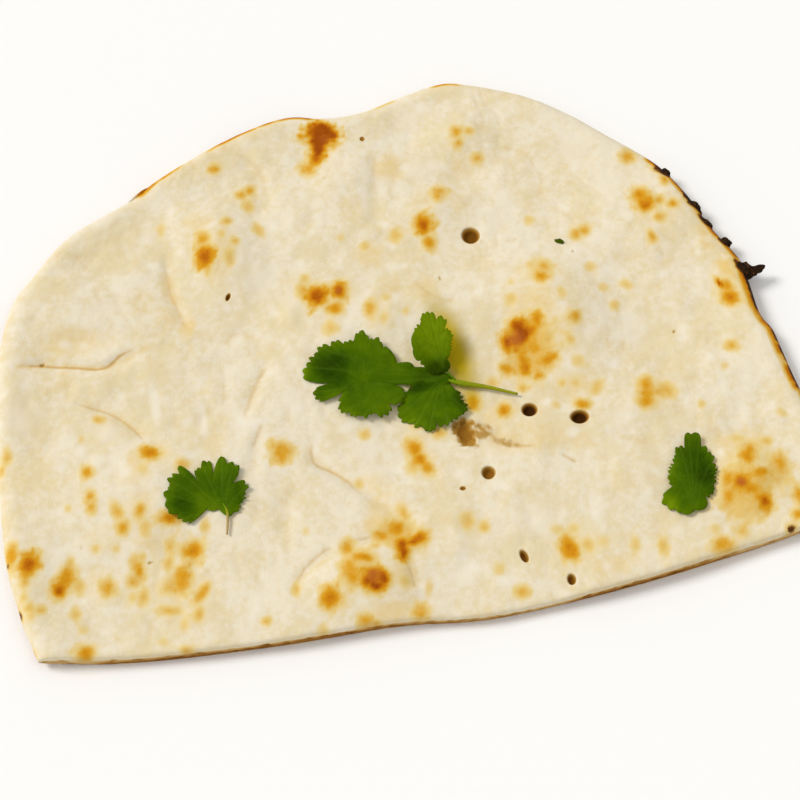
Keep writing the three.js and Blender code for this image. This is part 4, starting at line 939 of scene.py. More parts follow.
# For each blade: its middle; how many teeth and how deep; the stretches of its edge without teeth; the
# heading of its midrib and how high its halves and its spine stand; how it slopes, and its height above
# the bread; where its stalk joins, and the headings of its veins; how far it reaches between its lobes;
# and for each lobe the heading, the reach and half the width in degrees.
LEFT_BLADE = {
    "middle": (-51.7, -37.5), "teeth": (34, 0.85), "plain": [(215, 335)],
    "heading": 80, "halves": 0.7, "spine": 0, "slope": (0, 0), "base": 0,
    "root": (-49, -41.2), "veins": (14, 53, 70, 96, 125, 143, 161, 200),
    "inner": 2.4,
    "lobes": [(-42, 6.2, 20), (-20, 7.5, 24), (0, 8.7, 20), (18, 10, 19), (52, 12, 19), (68, 12.8, 13),
              (90, 11.9, 12.5), (104, 10.2, 11), (123, 13.1, 10), (139, 13.1, 16), (160, 12.5, 18),
              (176, 11.9, 22), (196, 9.9, 18), (208, 9.1, 14)]}
RIGHT_BLADE = {
    "middle": (68.4, -54.6), "teeth": (30, 0.7), "plain": [(-120, -70)],
    "heading": 80, "halves": 0, "spine": 0.9, "slope": (0, 0.03), "base": 0.2,
    "root": (66.6, -63.6), "veins": (65, 80, 30, 97, 150, -28, 200),
    "inner": 5.6,
    "lobes": [(-140, 10.9, 22), (-118, 10.8, 22), (-92, 9.5, 20), (-60, 7.2, 22), (-20, 6.4, 28),
              (15, 7.2, 24), (40, 8.6, 18), (54, 9.6, 12), (73, 12.5, 16), (98, 8.8, 14), (112, 7, 16),
              (146, 6.2, 24), (184, 6.3, 22)]}
SPRIG_LEFT_BLADE = {
    "middle": (-8.7, -10.7), "teeth": (46, 0.85), "plain": [(-30, 45)],
    "heading": 170, "halves": 1, "spine": 0, "slope": (0.02, 0), "base": 0.4,
    "root": (13.5, -14.2), "veins": (186, 153, 128, 78, 210, 235, 262, 296, 326),
    "inner": 5,
    "lobes": [(-90, 10.6, 62), (75, 11.8, 92), (-127, 10.9, 13), (-108, 11.1, 13), (-92, 11.5, 13),
              (-68, 12.9, 18), (-38, 13, 20), (-11, 24, 8), (-6, 18.5, 11), (0, 14.6, 17), (58, 13, 13),
              (77, 14.3, 12), (112, 13.3, 14), (129, 14.6, 15), (146, 14.9, 17), (158, 15.4, 16),
              (190, 12.9, 17)]}
SPRIG_UPPER_BLADE = {
    "middle": (12.1, -6.4), "teeth": (30, 0.6), "plain": [(130, 215), (-100, -40)],
    "heading": 85, "halves": 0.8, "spine": 0, "slope": (-0.08, 0.42), "base": 4.4,
    "root": (13, -12), "veins": (90, 66, 25, 120, 160),
    "inner": 4.6,
    "lobes": [(-150, 6.6, 30), (-105, 7.2, 34), (-78, 7, 20), (25, 5.4, 22), (64, 7.3, 18), (94, 8.2, 22),
              (122, 6.5, 26), (164, 6.2, 34)]}
SPRIG_LOWER_BLADE = {
    "middle": (8.7, -21.2), "teeth": (32, 0.75), "plain": [(15, 165)],
    "heading": -60, "halves": 0, "spine": 0.9, "slope": (0.03, 0.03), "base": 0.5,
    "root": (12, -14.5), "veins": (-72, -24, -112, -143, 4, 184),
    "inner": 6.2,
    "lobes": [(-172, 9.9, 24), (-143, 8.2, 15), (-112, 8.1, 16), (-72, 7.6, 22), (-44, 8, 15), (-22, 9, 18),
              (2, 7.9, 22), (36, 6.9, 28), (135, 7.6, 34), (162, 8.7, 22)]}


def reach_at(blade, degrees):
    """How far a blade reaches in each direction: its longest lobe there, with blunt tips."""
    reach = np.full(np.shape(degrees), float(blade["inner"]))
    for heading, length, half_width in blade["lobes"]:
        turn = np.abs(np.mod(np.asarray(degrees, float) - heading + 180, 360) - 180)
        lobe = (length - blade["inner"]) * np.sqrt(1 - clamp01(turn / half_width) ** LOBE_BLUNTNESS)
        reach = np.maximum(reach, blade["inner"] + lobe)
    return reach


def margin_reach(blade, degrees):
    """The outline with its teeth, which are uneven and leave the plain stretches of the edge alone."""
    count, depth = blade["teeth"]
    turn = np.radians(degrees)
    phase = count * turn / 2 + 0.8 * np.sin(3 * turn) + 0.5 * np.sin(7 * turn + 1)
    tooth = depth * (1 + TEETH_UNEVEN * np.sin(5 * turn + 2)) * (1 - np.abs(np.sin(phase)))
    tooth += SMALL_TEETH * (1 - np.abs(np.sin(2.5 * phase)))
    for start, end in blade["plain"]:
        half = (end - start) / 2
        off = np.abs(np.mod(np.asarray(degrees, float) - start - half + 180, 360) - 180)
        tooth = tooth * smooth((off - half + PLAIN_FADE) / PLAIN_FADE)
    return reach_at(blade, degrees) - tooth


def blade_height(blade, x, y):
    (mx, my), heading = blade["middle"], math.radians(blade["heading"])
    across = (y - my) * math.cos(heading) - (x - mx) * math.sin(heading)
    fold = mix(blade["halves"], blade["spine"], np.exp(-((across / SPINE_WIDTH) ** 2)))
    slope = (x - mx) * blade["slope"][0] + (y - my) * blade["slope"][1]
    return top_height(x, y) + CLEARANCE + blade["base"] + fold + slope


print("the sprig's left blade is", round(float(margin_reach(SPRIG_LEFT_BLADE, -8)), 1), "mm to its stalk")

# %% [markdown]
# ## Veins
#
# In a coriander leaf the main veins fan out from where the stalk joins, one to each lobe, and short
# side veins leave them. They are drawn as curves. How near a point is to one of them lowers the
# blade there by a tenth of a millimetre and is kept as an attribute, which the material paints
# paler, so the groove and its colour can't drift apart.

# %% Veins
VEIN_REACH, VEIN_BEND, VEIN_STEPS = 0.92, 0.18, 12
VEIN_WIDTH, SIDE_VEIN_WIDTH = 0.34, 0.22
SIDE_VEINS_AT = (0.42, 0.58, 0.72, 0.86)
SIDE_VEIN_TURN, SIDE_VEIN_SHARE = 38, 0.2
SIDE_VEIN_STRENGTH = 0.55


def vein_lines(blade):
    """The blade's main and side veins, as (line, width, strength)."""
    middle, root = np.array(blade["middle"]), np.array(blade["root"])
    lines = []
    for degrees in blade["veins"]:
        away = np.array([math.cos(math.radians(degrees)), math.sin(math.radians(degrees))])
        tip = middle + away * VEIN_REACH * float(reach_at(blade, degrees))
        bend = mix(root, tip, 0.5) + VEIN_BEND * (middle - mix(root, tip, 0.5))
        line = curve_through([root, bend, tip], VEIN_STEPS)
        lines.append((line, VEIN_WIDTH, 1))
        run = tip - root
        for share in SIDE_VEINS_AT:
            start = line[round(share * VEIN_STEPS)]
            for side in (-1, 1):
                turn = math.radians(SIDE_VEIN_TURN * side)
                turned = np.array([run[0] * math.cos(turn) - run[1] * math.sin(turn),
                                   run[0] * math.sin(turn) + run[1] * math.cos(turn)])
                end = start + turned * SIDE_VEIN_SHARE
                lines.append((np.array([start, end]), SIDE_VEIN_WIDTH, SIDE_VEIN_STRENGTH))
    return lines


def veins_on(blade, x, y):
    mark = np.zeros(len(x))
    for line, width, strength in vein_lines(blade):
        mark = np.maximum(mark, strength * np.exp(-((to_line(x, y, line)[0] / width) ** 2)))
    return mark


# %% [markdown]
# ## One blade
#
# The disc starts as a fan of triangles round its middle. Cutting the spokes of the fan makes rings
# of squares, which follow the lobes. Besides the fold, the skin quilts up between its veins and the
# edge waves a little. Its tone is laid on as the spots of the bread are: partly the leaf's own uneven
# green, partly painted shade, the dark green of the folds, and painted light, the yellow green where
# light comes through.

# %% Make a blade
POINTS_PER_TOOTH = 9
BLADE_RINGS = 15
BLADE_THICKNESS = 0.3
VEIN_GROOVE = 0.1
QUILT, QUILT_SIZE = 0.13, 1.9
BLADE_WAVE, BLADE_WAVE_SIZE = 0.3, 7
BLADE_DROOP = 0.3
BASE_TONE, EDGE_TONE = 0.45, 0.1
TONE_CHANGE, TONE_CHANGE_SIZE, TONE_EDGE = 0.22, 5, 1.2
# brown teeth: from how far out, over how much, and the size, level and softness of the noise that picks them
BROWN_FROM, BROWN_BAND = 0.9, 0.1
BROWN_SIZE, BROWN_LEVEL, BROWN_FADE = 1.1, 0.35, 0.12


def new_part():
    part = bmesh.new()
    part.verts.layers.float_color.new("leaf")
    return part


def paint(part, values):
    layer = part.verts.layers.float_color["leaf"]
    for vert, value in zip(part.verts, values):
        vert[layer] = value


def blade_part(blade, tones, seed):
    """A blade, with its veins, tone and brown teeth in a colour layer."""
    part = new_part()
    segments = blade["teeth"][0] * POINTS_PER_TOOTH
    bmesh.ops.create_circle(part, cap_ends=True, cap_tris=True, segments=segments, radius=1)
    spokes = [e for e in part.edges if min(v.co.length for v in e.verts) < 0.5]
    bmesh.ops.subdivide_edges(part, edges=spokes, cuts=BLADE_RINGS - 1)
    co = np.array([v.co for v in part.verts])
    share = np.hypot(co[:, 0], co[:, 1])
    degrees = np.degrees(np.arctan2(co[:, 1], co[:, 0]))
    reach = share * margin_reach(blade, degrees)
    x = blade["middle"][0] + reach * np.cos(np.radians(degrees))
    y = blade["middle"][1] + reach * np.sin(np.radians(degrees))
    veins = veins_on(blade, x, y)
    wave = grain(x, y, BLADE_WAVE_SIZE, 2, seed)
    z = (blade_height(blade, x, y) - VEIN_GROOVE * veins + QUILT * grain(x, y, QUILT_SIZE, 2, seed)
         + BLADE_WAVE * wave * share**2 - BLADE_DROOP * share**5)
    # tone: the blade's own uneven green, lighter towards its edge, then the listed patches of painted shade
    # and painted light
    tone = BASE_TONE + TONE_CHANGE * grain(x, y, TONE_CHANGE_SIZE, 2, seed) + EDGE_TONE * share**4
    for *place, change in tones:
        tone = tone + change * smooth(TONE_EDGE - oval(x, y, *place))
    picked = smooth((grain(x, y, BROWN_SIZE, 1, seed) - BROWN_LEVEL) / BROWN_FADE)
    brown = smooth((share - BROWN_FROM) / BROWN_BAND) * picked
    move_to(part, np.column_stack([x, y, z]))
    bmesh.ops.recalc_face_normals(part, faces=part.faces[:])
    part.faces.ensure_lookup_table()
    if part.faces[0].normal.z < 0:
        bmesh.ops.reverse_faces(part, faces=part.faces[:])
    paint(part, np.column_stack([veins, tone, brown, np.ones(len(x))]))
    bmesh.ops.solidify(part, geom=part.faces[:], thickness=BLADE_THICKNESS)
    return part


# %% [markdown]
# ## Stalks
#
# A stalk is a round tube that tapers. A small circle is extruded from place to place along a smooth
# curve and each new ring is moved, turned and scaled by one matrix, so the tube never twists. Its
# end is closed with a face.

# %% Make a stalk
STALK_SIDES = 14
STALK_STEPS = 36


def stalk_part(path, radii, tones):
    """A tapering tube through places given as x, y and height above the bread."""
    part = new_part()
    ground = [float(top_height(np.array([x], float), np.array([y], float))[0]) for x, y, _ in path]
    line = curve_through([(x, y, z + above) for (x, y, above), z in zip(path, ground)], STALK_STEPS)
    thick = np.interp(np.linspace(0, 1, STALK_STEPS + 1), np.linspace(0, 1, len(radii)), radii)

    def ring_matrix(i):
        ahead = Vector(line[min(i + 1, STALK_STEPS)] - line[max(i - 1, 0)])
        turn = ahead.to_track_quat("Z", "Y").to_matrix().to_4x4()
        return Matrix.Translation(line[i]) @ turn @ Matrix.Scale(thick[i], 4)

    bmesh.ops.create_circle(part, cap_ends=True, segments=STALK_SIDES, radius=1, matrix=ring_matrix(0))
    edges = part.edges[:]
    for i in range(1, STALK_STEPS + 1):
        grown = bmesh.ops.extrude_edge_only(part, edges=edges)["geom"]
        edges = [e for e in grown if isinstance(e, bmesh.types.BMEdge)]
        ring = [v for v in grown if isinstance(v, bmesh.types.BMVert)]
        bmesh.ops.transform(part, matrix=ring_matrix(i) @ ring_matrix(i - 1).inverted(), verts=ring)
    bmesh.ops.holes_fill(part, edges=edges, sides=0)
    bmesh.ops.recalc_face_normals(part, faces=part.faces[:])
    for face in part.faces:
        face.material_index = 1
    start, end = Vector(line[0]), Vector(line[-1])
    along = [(v.co - start).dot(end - start) / (end - start).length_squared for v in part.verts]
    shade = np.interp(along, np.linspace(0, 1, len(tones)), tones)
    paint(part, [(0, tone, 0, 1) for tone in shade])
    return part


def joined(*parts):
    """One bmesh that holds all the parts."""
    plant = new_part()
    for part in parts:
        carrier = bpy.data.meshes.new("carrier")
        part.to_mesh(carrier)
        part.free()
        plant.from_mesh(carrier)
        bpy.data.meshes.remove(carrier)
    return plant


# %% [markdown]
# ## The sprig and the two leaves
#
# The sprig has three blades on one stalk: a large one that lies to the left, a small one below it
# and one that stands up, so light shines through it. The yellow of its shadow on the bread is painted
# light in the bread's colour. The two loose leaves lie near the cut, the left one with a short pale
# stalk.

# %% Sprig
# middle x, y, half width, half length, turn, how much lighter (or darker): the blade's own uneven green with
# painted shade in its folds and painted light where light comes through
LEFT_TONES = [(-15.4, -6.2, 6.5, 6.5, 0, -0.5), (-22, -12, 4, 6, 0, -0.2), (-8, -3, 4, 3, 30, 0.15),
              (-24, -4, 2.5, 5, 0, 0.3), (-5, -18, 9, 5, 0, 0.12), (-14, -22, 5, 3, 0, 0.25),
              (10, -13, 6, 3, 0, -0.25), (2, -12, 6, 3, -10, 0.1)]
UPPER_TONES = [(12, -4, 8, 8, 0, 0.4), (12.5, -12, 5, 2.5, 0, -0.6)]
LOWER_TONES = [(8, -21, 6, 6, 0, 0.12), (16.5, -22, 3, 6, 10, -0.5), (6, -16, 6, 2.5, 0, -0.55),
               (2, -24, 4, 4, 0, 0.2), (14, -14, 3, 2, 0, 0.2)]
SPRIG_STEM = [(11, -14, 0.5), (13.5, -15.2, 1), (17.4, -17.2, 1.5), (23.2, -19.3, 1.3), (30.6, -22.8, 0.9)]
SPRIG_RISER = [(15.8, -16.4, 1.6), (14.2, -13.6, 1.7), (13.2, -10.8, 2.2)]

sprig_piece = finish_piece(joined(
    blade_part(SPRIG_LEFT_BLADE, LEFT_TONES, 3.1),
    blade_part(SPRIG_LOWER_BLADE, LOWER_TONES, 5.7),
    blade_part(SPRIG_UPPER_BLADE, UPPER_TONES, 8.3),
    stalk_part(SPRIG_STEM, (0.3, 0.55, 0.78, 0.62, 0.5, 0.42, 0.34), (0.25, 0.4, 0.52, 0.6, 0.62, 0.62)),
    stalk_part(SPRIG_RISER, (0.34, 0.28, 0.24, 0.2), (0, 0.05, 0))),
    "coriander_sprig_fresh", "herb", "coriander_sprig")

# %% Loose leaves
# the same for the loose leaves: their own uneven green with painted shade and painted light
LEFT_LEAF_TONES = [(-53, -38, 4, 5, 10, 0.25), (-59, -38, 4, 6, 0, -0.18), (-46, -33, 4, 5, 0, -0.15),
                   (-44, -38, 3, 4, 0, -0.3), (-50, -30, 2.5, 4, 0, 0.1)]
RIGHT_LEAF_TONES = [(70, -50, 5, 9, 10, -0.35), (61, -61, 3.4, 4, 0, 0.45), (67, -63, 4, 2, 0, 0.12),
                    (73, -58, 3, 6, 0, -0.3), (63, -52, 2, 5, 0, 0.2)]
LEFT_STALK = [(-49.2, -38.4, 0.8), (-48.5, -41.4, 0.9), (-49.5, -47, 0.8)]

left_piece = finish_piece(joined(
    blade_part(LEFT_BLADE, LEFT_LEAF_TONES, 12.9),
    stalk_part(LEFT_STALK, (0.2, 0.34, 0.34, 0.3, 0.26), (0.2, 0.7, 1, 1))),
    "coriander_leaf_left_fresh", "herb", "coriander_leaf_left")
right_piece = finish_piece(blade_part(RIGHT_BLADE, RIGHT_LEAF_TONES, 17.3),
                           "coriander_leaf_right_fresh", "herb", "coriander_leaf_right")

# %% [markdown]
# ## A chopped fleck
#
# One crumb of leaf lies alone near the back. It is a disc of sixteen triangles, each split in four,
# drawn out, crumpled by noise and given the same thin thickness as the blades.

# %% Fleck
FLECK = {"middle": (52.6, 21), "half": (1.4, 0.6), "turn": -30, "above": 0.4, "sides": 16}
FLECK_COLOUR = (0, 0.35, 0.5, 1)
# how much the noise moves its edge and bends it, and how fine that noise is
RAGGED_EDGE, CRUMPLED = (0.35, 1.7), (0.25, 1.2)
CRUMPLE_SHIFT = Vector((4, 4, 4))


def herb_fleck():
    fleck = new_part()
    bmesh.ops.create_circle(fleck, cap_ends=True, cap_tris=True, segments=FLECK["sides"], radius=1)
    bmesh.ops.subdivide_edges(fleck, edges=fleck.edges[:], cuts=1)
    x0, y0 = FLECK["middle"]
    ground = float(top_height(np.array([x0]), np.array([y0]))[0])
    for vert in fleck.verts:
        uneven = 1 + RAGGED_EDGE[0] * noise.noise(vert.co * RAGGED_EDGE[1])
        bend = CRUMPLED[0] * noise.noise(vert.co * CRUMPLED[1] + CRUMPLE_SHIFT)
        vert.co = (vert.co.x * FLECK["half"][0] * uneven, vert.co.y * FLECK["half"][1] * uneven, bend)
    paint(fleck, [FLECK_COLOUR] * len(fleck.verts))
    bmesh.ops.solidify(fleck, geom=fleck.faces[:], thickness=BLADE_THICKNESS)
    place = (Matrix.Translation((x0, y0, ground + FLECK["above"]))
             @ Matrix.Rotation(math.radians(FLECK["turn"]), 4, "Z"))
    bmesh.ops.transform(fleck, matrix=place, verts=fleck.verts[:])
    bmesh.ops.recalc_face_normals(fleck, faces=fleck.faces[:])
    return fleck


fleck_piece = finish_piece(herb_fleck(), "herb_fleck", "herb")

# %% [markdown]
# ## Writing materials as sums
#
# A material is a network of nodes. Wiring dozens of Math nodes by hand is slow to read, so a small
# class wraps a node's output and lets Python's own + - * / add the nodes. One method adds every
# other kind of node: its type, its settings, then what its sockets get.

# %% Shader helpers
def colour(red, green, blue):
    """A colour as it is seen on a screen (0-255), as the linear light that shaders reckon in."""
    def linear(level):
        level /= 255
        return level / 12.92 if level <= 0.04045 else ((level + 0.055) / 1.055) ** 2.4
    return (linear(red), linear(green), linear(blue), 1)


class Wire:
    """One output of a node in a finish. Sums of wires and numbers add their Math nodes."""

    def __init__(self, finish, socket):
        self.finish, self.socket = finish, socket

    def out(self, name):
        return Wire(self.finish, self.socket.node.outputs[name])

    def math(self, operation, *values):
        return self.finish.add("Math", {"operation": operation}, dict(enumerate(values)))

    def __add__(self, other):
        return self.math("ADD", self, other)

    def __sub__(self, other):
        return self.math("SUBTRACT", self, other)

    def __rsub__(self, other):
        return self.math("SUBTRACT", other, self)

    def __mul__(self, other):
        return self.math("MULTIPLY", self, other)

    __radd__ = __add__
    __rmul__ = __mul__

    def window(self, low, high):
        """0 below low, 1 above high, and a soft step between."""
        return self.finish.add("MapRange", {"interpolation_type": "SMOOTHSTEP"},
                               {"Value": self, "From Min": low, "From Max": high})


class Finish:
    """A material under construction."""

    def __init__(self, name):
        self.material = bpy.data.materials.new(name)
        self.material.use_nodes = True
        self.tree = self.material.node_tree
        self.tree.nodes.clear()
        place = self.add("TexCoord").out("Object")
        self.place = self.add("VectorMath", {"operation": "SCALE"}, {"Vector": place, "Scale": 1 / MM})

    def add(self, kind, settings=None, sockets=None, out=0):
        node = self.tree.nodes.new("ShaderNode" + kind)
        for name, value in (settings or {}).items():
            if name == "stops":
                ramp = node.color_ramp.elements
                while len(ramp) < len(value):
                    ramp.new(1)
                for element, (position, paint) in zip(ramp, value):
                    element.position, element.color = position, paint
            else:
                setattr(node, name, value)
        for name, value in (sockets or {}).items():
            if isinstance(value, Wire):
                self.tree.links.new(value.socket, node.inputs[name])
            else:
                node.inputs[name].default_value = value
        return Wire(self, node.outputs[out]) if node.outputs else None

    def noise(self, size, detail=2, roughness=0.55):
        """Noise from 0 to 1 whose lumps are about this many millimetres across."""
        return self.add("TexNoise", None, {"Vector": self.place, "Scale": 1 / size, "Detail": detail,
                                           "Roughness": roughness})

    def tint(self, share, first, second):
        """The first colour turned into the second by the share."""
        return self.add("Mix", {"data_type": "RGBA"}, {0: share, 6: first, 7: second}, out=2)

    def ramp(self, value, stops):
        return self.add("ValToRGB", {"stops": stops}, {"Fac": value})

    def channels(self, name):
        """The red, green, blue and alpha of one of the piece's colour attributes."""
        stored = self.add("Attribute", {"attribute_name": name})
        split = self.add("SeparateColor", None, {"Color": stored})
        return split, split.out("Green"), split.out("Blue"), stored.out("Alpha")

    def skin(self, base, rough, bump_height, bump_distance, gloss=0.5):
        """The surface's Principled shader, with a bump in millimetres."""
        bump = self.add("Bump", None, {"Height": bump_height, "Distance": bump_distance * MM})
        return self.add("BsdfPrincipled", None, {"Base Color": base, "Roughness": rough, "Normal": bump,
                                                 "Specular IOR Level": gloss})

    def done(self, shader, *pieces):
        self.add("OutputMaterial", None, {"Surface": shader})
        for piece in pieces:
            piece.data.materials.append(self.material)
        print(self.material.name, "has", len(self.tree.nodes), "nodes")


# %% [markdown]
# ## The baked dough
#
# Plain skin wavers between floury white and a warmer cream, at a few sizes at once. Over that come,
# in order, the yellowed places, the toast, the char and the holes, each by the number that its point
# stores. Fine noise is added to the toast before it is turned into a colour, so that a spot has a
# mottled inside and a ragged edge finer than the mesh. The crumb and the underside have creams of
# their own. Some of these colours are painted light and shade: the char also paints the shadow under
# the far and the left rim, the holes and the foot of the cut are darkened with painted shade, and
# beside the standing blade lies its painted yellow-green light. The skin is matt, and a little
# glossier where it toasted.

# %% Bread finish
FLOURY, CREAM, WARM = colour(233, 222, 197), colour(227, 211, 173), colour(224, 201, 153)
YELLOW = colour(227, 194, 118)
FLOUR_WHITE = colour(238, 229, 209)
# painted light: the yellow-green of the light that comes through the standing blade onto the bread
LEAF_GREEN_LIGHT = colour(186, 160, 16)
FOLD_TAN = colour(204, 164, 92)
SCAB_BROWN = colour(184, 104, 46)
TOAST_STOPS = [(0.0, colour(232, 215, 178)), (0.12, colour(230, 207, 154)), (0.2, colour(228, 203, 140)),
               (0.3, colour(225, 193, 118)), (0.4, colour(221, 180, 92)), (0.5, colour(217, 164, 56)),
               (0.6, colour(213, 151, 28)), (0.7, colour(205, 136, 16)), (0.8, colour(194, 116, 7)),
               (0.9, colour(177, 95, 1)), (1.0, colour(154, 72, 0))]
CHAR_AND_SHADE_STOPS = [(0.0, colour(162, 92, 26)), (0.5, colour(112, 62, 18)), (0.8, colour(62, 38, 16)),
              (1.0, colour(32, 22, 12))]
# the holes' colours, pale at the mouth to near black deep in: browned dough and painted shade of a deep hole
HOLE_BROWN_AND_SHADE_STOPS = [(0.0, colour(214, 190, 140)), (0.3, colour(186, 150, 86)), (0.55, colour(166, 120, 44)),
              (0.75, colour(132, 86, 20)), (0.88, colour(104, 64, 10)), (1.0, colour(62, 34, 6))]
# the cut face from its top to its foot, cream to brown: browned crust and painted shade under the edge
CUT_STOPS = [(0.0, colour(226, 204, 158)), (0.3, colour(206, 168, 104)), (0.55, colour(168, 118, 52)),
             (0.8, colour(138, 90, 30)), (1.0, colour(110, 66, 16))]
UNDER_LIGHT, UNDER_DARK = colour(222, 190, 136), colour(170, 112, 52)
BREAD_BUMP, BREAD_GLOSS = 0.07, 0.06

crust = Finish("baked_dough")
toasted, charred, yellowed, _ = crust.channels("marks")
hole_brown_and_shade, cut_open, beneath, _ = crust.channels("zones")
folded, scabbed, floured, leaf_lit = crust.channels("lines")
clouds = crust.noise(26, 1) * 0.45 + crust.noise(8, 1) * 0.35 + crust.noise(3.2, 1) * 0.2
mottle = crust.noise(1.6, 3, 0.6)
blotch = mottle - 0.5
speck = crust.noise(0.7, 2) - 0.5
uneven = blotch * 0.3 + speck * 0.2
base = crust.tint((clouds + uneven).window(0.38, 0.6), FLOURY, CREAM)
base = crust.tint((clouds + uneven * 1.3).window(0.55, 0.85), base, WARM)
base = crust.tint((yellowed + blotch * 0.16).window(0.02, 0.85), base, YELLOW)
base = crust.tint((floured + uneven * 1.5).window(0.1, 0.9) * 0.75, base, FLOUR_WHITE)
base = crust.tint((folded + blotch * 0.25 * folded.window(0.05, 0.3)).window(0, 1), base, FOLD_TAN)
browned = toasted + blotch * 0.26 * toasted.window(0.05, 0.5) + speck * 0.1 * toasted.window(0.1, 0.5)
base = crust.tint(browned.window(0.01, 0.2), base, crust.ramp(browned, TOAST_STOPS))
base = crust.tint(scabbed * 0.55, base, SCAB_BROWN)
# painted light: the yellow-green light that falls through the standing blade onto the bread
base = crust.tint(leaf_lit, base, LEAF_GREEN_LIGHT)
# the char ramp also paints the shadow under the far and the left rim
burnt_and_shaded = charred + blotch * 0.5 * charred.window(0.05, 0.4)
base = crust.tint(burnt_and_shaded.window(0.28, 0.6), base, crust.ramp(burnt_and_shaded, CHAR_AND_SHADE_STOPS))
# the cut face's crumb, darkened towards its foot with browned crust and painted shade
cut_colour_and_shade = crust.ramp(cut_open + (crust.noise(2.2, 3) - 0.5) * 0.5 * cut_open.window(0.2, 0.6), CUT_STOPS)
base = crust.tint(cut_open.window(0.02, 0.3), base, cut_colour_and_shade)
under_clouds = (crust.noise(12, 3) * 0.6 + mottle * 0.4).window(0.45, 0.62)
base = crust.tint(beneath.window(0.3, 0.9), base, crust.tint(under_clouds, UNDER_LIGHT, UNDER_DARK))
# painted shade: the holes are darkened as if they were deeper, over their browned dough
base = crust.tint(hole_brown_and_shade.window(0.02, 0.35), base, crust.ramp(hole_brown_and_shade, HOLE_BROWN_AND_SHADE_STOPS))
rough = 0.85 - browned.window(0.2, 0.9) * 0.2
grit = crust.noise(0.9, 3, 0.6) + crust.noise(0.35, 2) * 0.5
grit = grit + burnt_and_shaded.window(0.3, 0.8) * crust.noise(0.6, 3) * 2
crust.done(crust.skin(base, rough, grit, BREAD_BUMP, BREAD_GLOSS), naan)

# %% [markdown]
# ## Char, leaf and stalk
#
# Charcoal is black with brown in its hollows, and rough enough to swallow most light. A leaf is
# waxy, so it is glossier than bread, and part of the light goes through it: a Translucent shader
# mixed into the Principled one passes that light on, tinted yellow-green. The stalks share the leaf's
# attribute for their tone, from green to the pale tan of a drying end.

# %% Char finish
COAL_STOPS = [(0.3, colour(16, 9, 4)), (0.52, colour(42, 25, 9)), (0.7, colour(92, 56, 22))]
COAL_BUMP, COAL_GLOSS = 0.5, 0.08

coal = Finish("char")
flakes = coal.noise(1.1, 4, 0.65)
coal_rough = flakes.window(0.2, 0.8) * 0.25 + 0.6
coal.done(coal.skin(coal.ramp(flakes, COAL_STOPS), coal_rough, flakes, COAL_BUMP, COAL_GLOSS), lumps)

# %% Leaf finish
LEAF_STOPS = [(0.0, colour(44, 74, 0)), (0.25, colour(62, 98, 0)), (0.5, colour(84, 120, 0)),
              (0.75, colour(110, 142, 0)), (1.0, colour(134, 164, 8))]
VEIN_GREEN = colour(122, 156, 36)
TOOTH_BROWN = colour(96, 62, 14)
LIGHT_THROUGH = colour(186, 196, 0)
THROUGH_SHARE = 0.42
LEAF_BUMP, LEAF_GLOSS = 0.06, 0.03

leaf = Finish("coriander_leaf")
veined, toned, dried, _ = leaf.channels("leaf")
patchy = leaf.noise(3.2, 3) - 0.5
fine_cells = leaf.noise(0.45, 2)
leaf_base = leaf.ramp(toned + patchy * 0.35 + (fine_cells - 0.5) * 0.12, LEAF_STOPS)
leaf_base = leaf.tint(veined * 0.2, leaf_base, VEIN_GREEN)
leaf_base = leaf.tint(dried * 0.6, leaf_base, TOOTH_BROWN)
leaf_rough, leaf_relief = fine_cells * 0.16 + 0.42, fine_cells - veined * 0.8
waxy = leaf.skin(leaf_base, leaf_rough, leaf_relief, LEAF_BUMP, LEAF_GLOSS)
through = leaf.add("BsdfTranslucent", None, {"Color": LIGHT_THROUGH})
leaf.done(leaf.add("MixShader", None, {0: THROUGH_SHARE, 1: waxy, 2: through}),
          sprig_piece, left_piece, right_piece, fleck_piece)

# %% Stalk finish
STALK_STOPS = [(0.05, colour(74, 112, 0)), (0.35, colour(104, 134, 4)), (0.65, colour(150, 150, 24)),
               (0.95, colour(176, 150, 96))]
STALK_BUMP, STALK_GLOSS = 0.1, 0.05

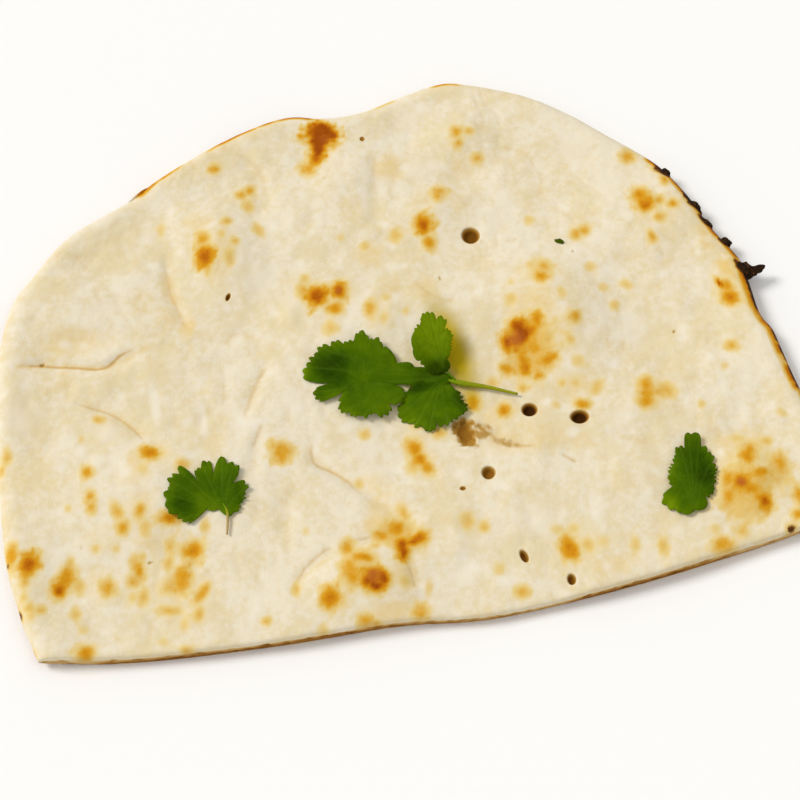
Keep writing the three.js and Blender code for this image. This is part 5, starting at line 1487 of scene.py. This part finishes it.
stalk = Finish("coriander_stalk")
_, stalk_tone, _, _ = stalk.channels("leaf")
streaks = stalk.noise(0.8, 3)
stalk_base = stalk.ramp(stalk_tone + (streaks - 0.5) * 0.3, STALK_STOPS)
stalk.done(stalk.skin(stalk_base, streaks * 0.2 + 0.4, streaks, STALK_BUMP, STALK_GLOSS),
           sprig_piece, left_piece)

# %% [markdown]
# ## Floor and light
#
# The floor is a plain pale sheet. A large soft key light comes from the left and a little behind,
# low enough to bring out the folds, and a pale sky fills the shadows. Sun lamps with a wide angle
# are used for it: they light every place alike and their softness is one number.

# %% Floor
FLOOR_HALF, FLOOR_DROP = 1500, 0.05
FLOOR_WHITE = colour(250, 249, 247)
FLOOR_ROUGHNESS, FLOOR_BUMP = 0.8, 0.01

floor_mesh = bmesh.new()
bmesh.ops.create_grid(floor_mesh, x_segments=1, y_segments=1, size=FLOOR_HALF * MM)
bmesh.ops.translate(floor_mesh, verts=floor_mesh.verts[:], vec=(0, 0, -FLOOR_DROP * MM))
floor_data = bpy.data.meshes.new("floor")
floor_mesh.to_mesh(floor_data)
floor_mesh.free()
floor = bpy.data.objects.new("floor", floor_data)
bpy.context.collection.objects.link(floor)
table = Finish("pale_floor")
table.done(table.skin(FLOOR_WHITE, FLOOR_ROUGHNESS, table.noise(40), FLOOR_BUMP), floor)

# %% Lights
SKY = 0.62
KEY_POWER, KEY_TURN, KEY_HEIGHT, KEY_SOFTNESS = 1.9, -118, 44, 22
KEY_TINT = (1, 0.985, 0.96)
LAMP_DISTANCE = 600


def sun(name, power, turn, height, softness, tint):
    data = bpy.data.lights.new(name, "SUN")
    data.energy, data.angle, data.color = power, math.radians(softness), tint
    return aimed(name, data, turn, height, LAMP_DISTANCE)


sun("key", KEY_POWER, KEY_TURN, KEY_HEIGHT, KEY_SOFTNESS, KEY_TINT)
world = bpy.data.worlds.new("studio")
bpy.context.scene.world = world
world.use_nodes = True
world.node_tree.nodes["Background"].inputs["Color"].default_value = (1, 1, 1, 1)
world.node_tree.nodes["Background"].inputs["Strength"].default_value = SKY
bpy.context.scene.view_settings.view_transform = "Standard"
print("key light from", [round(c, 2) for c in direction(KEY_TURN, KEY_HEIGHT)])
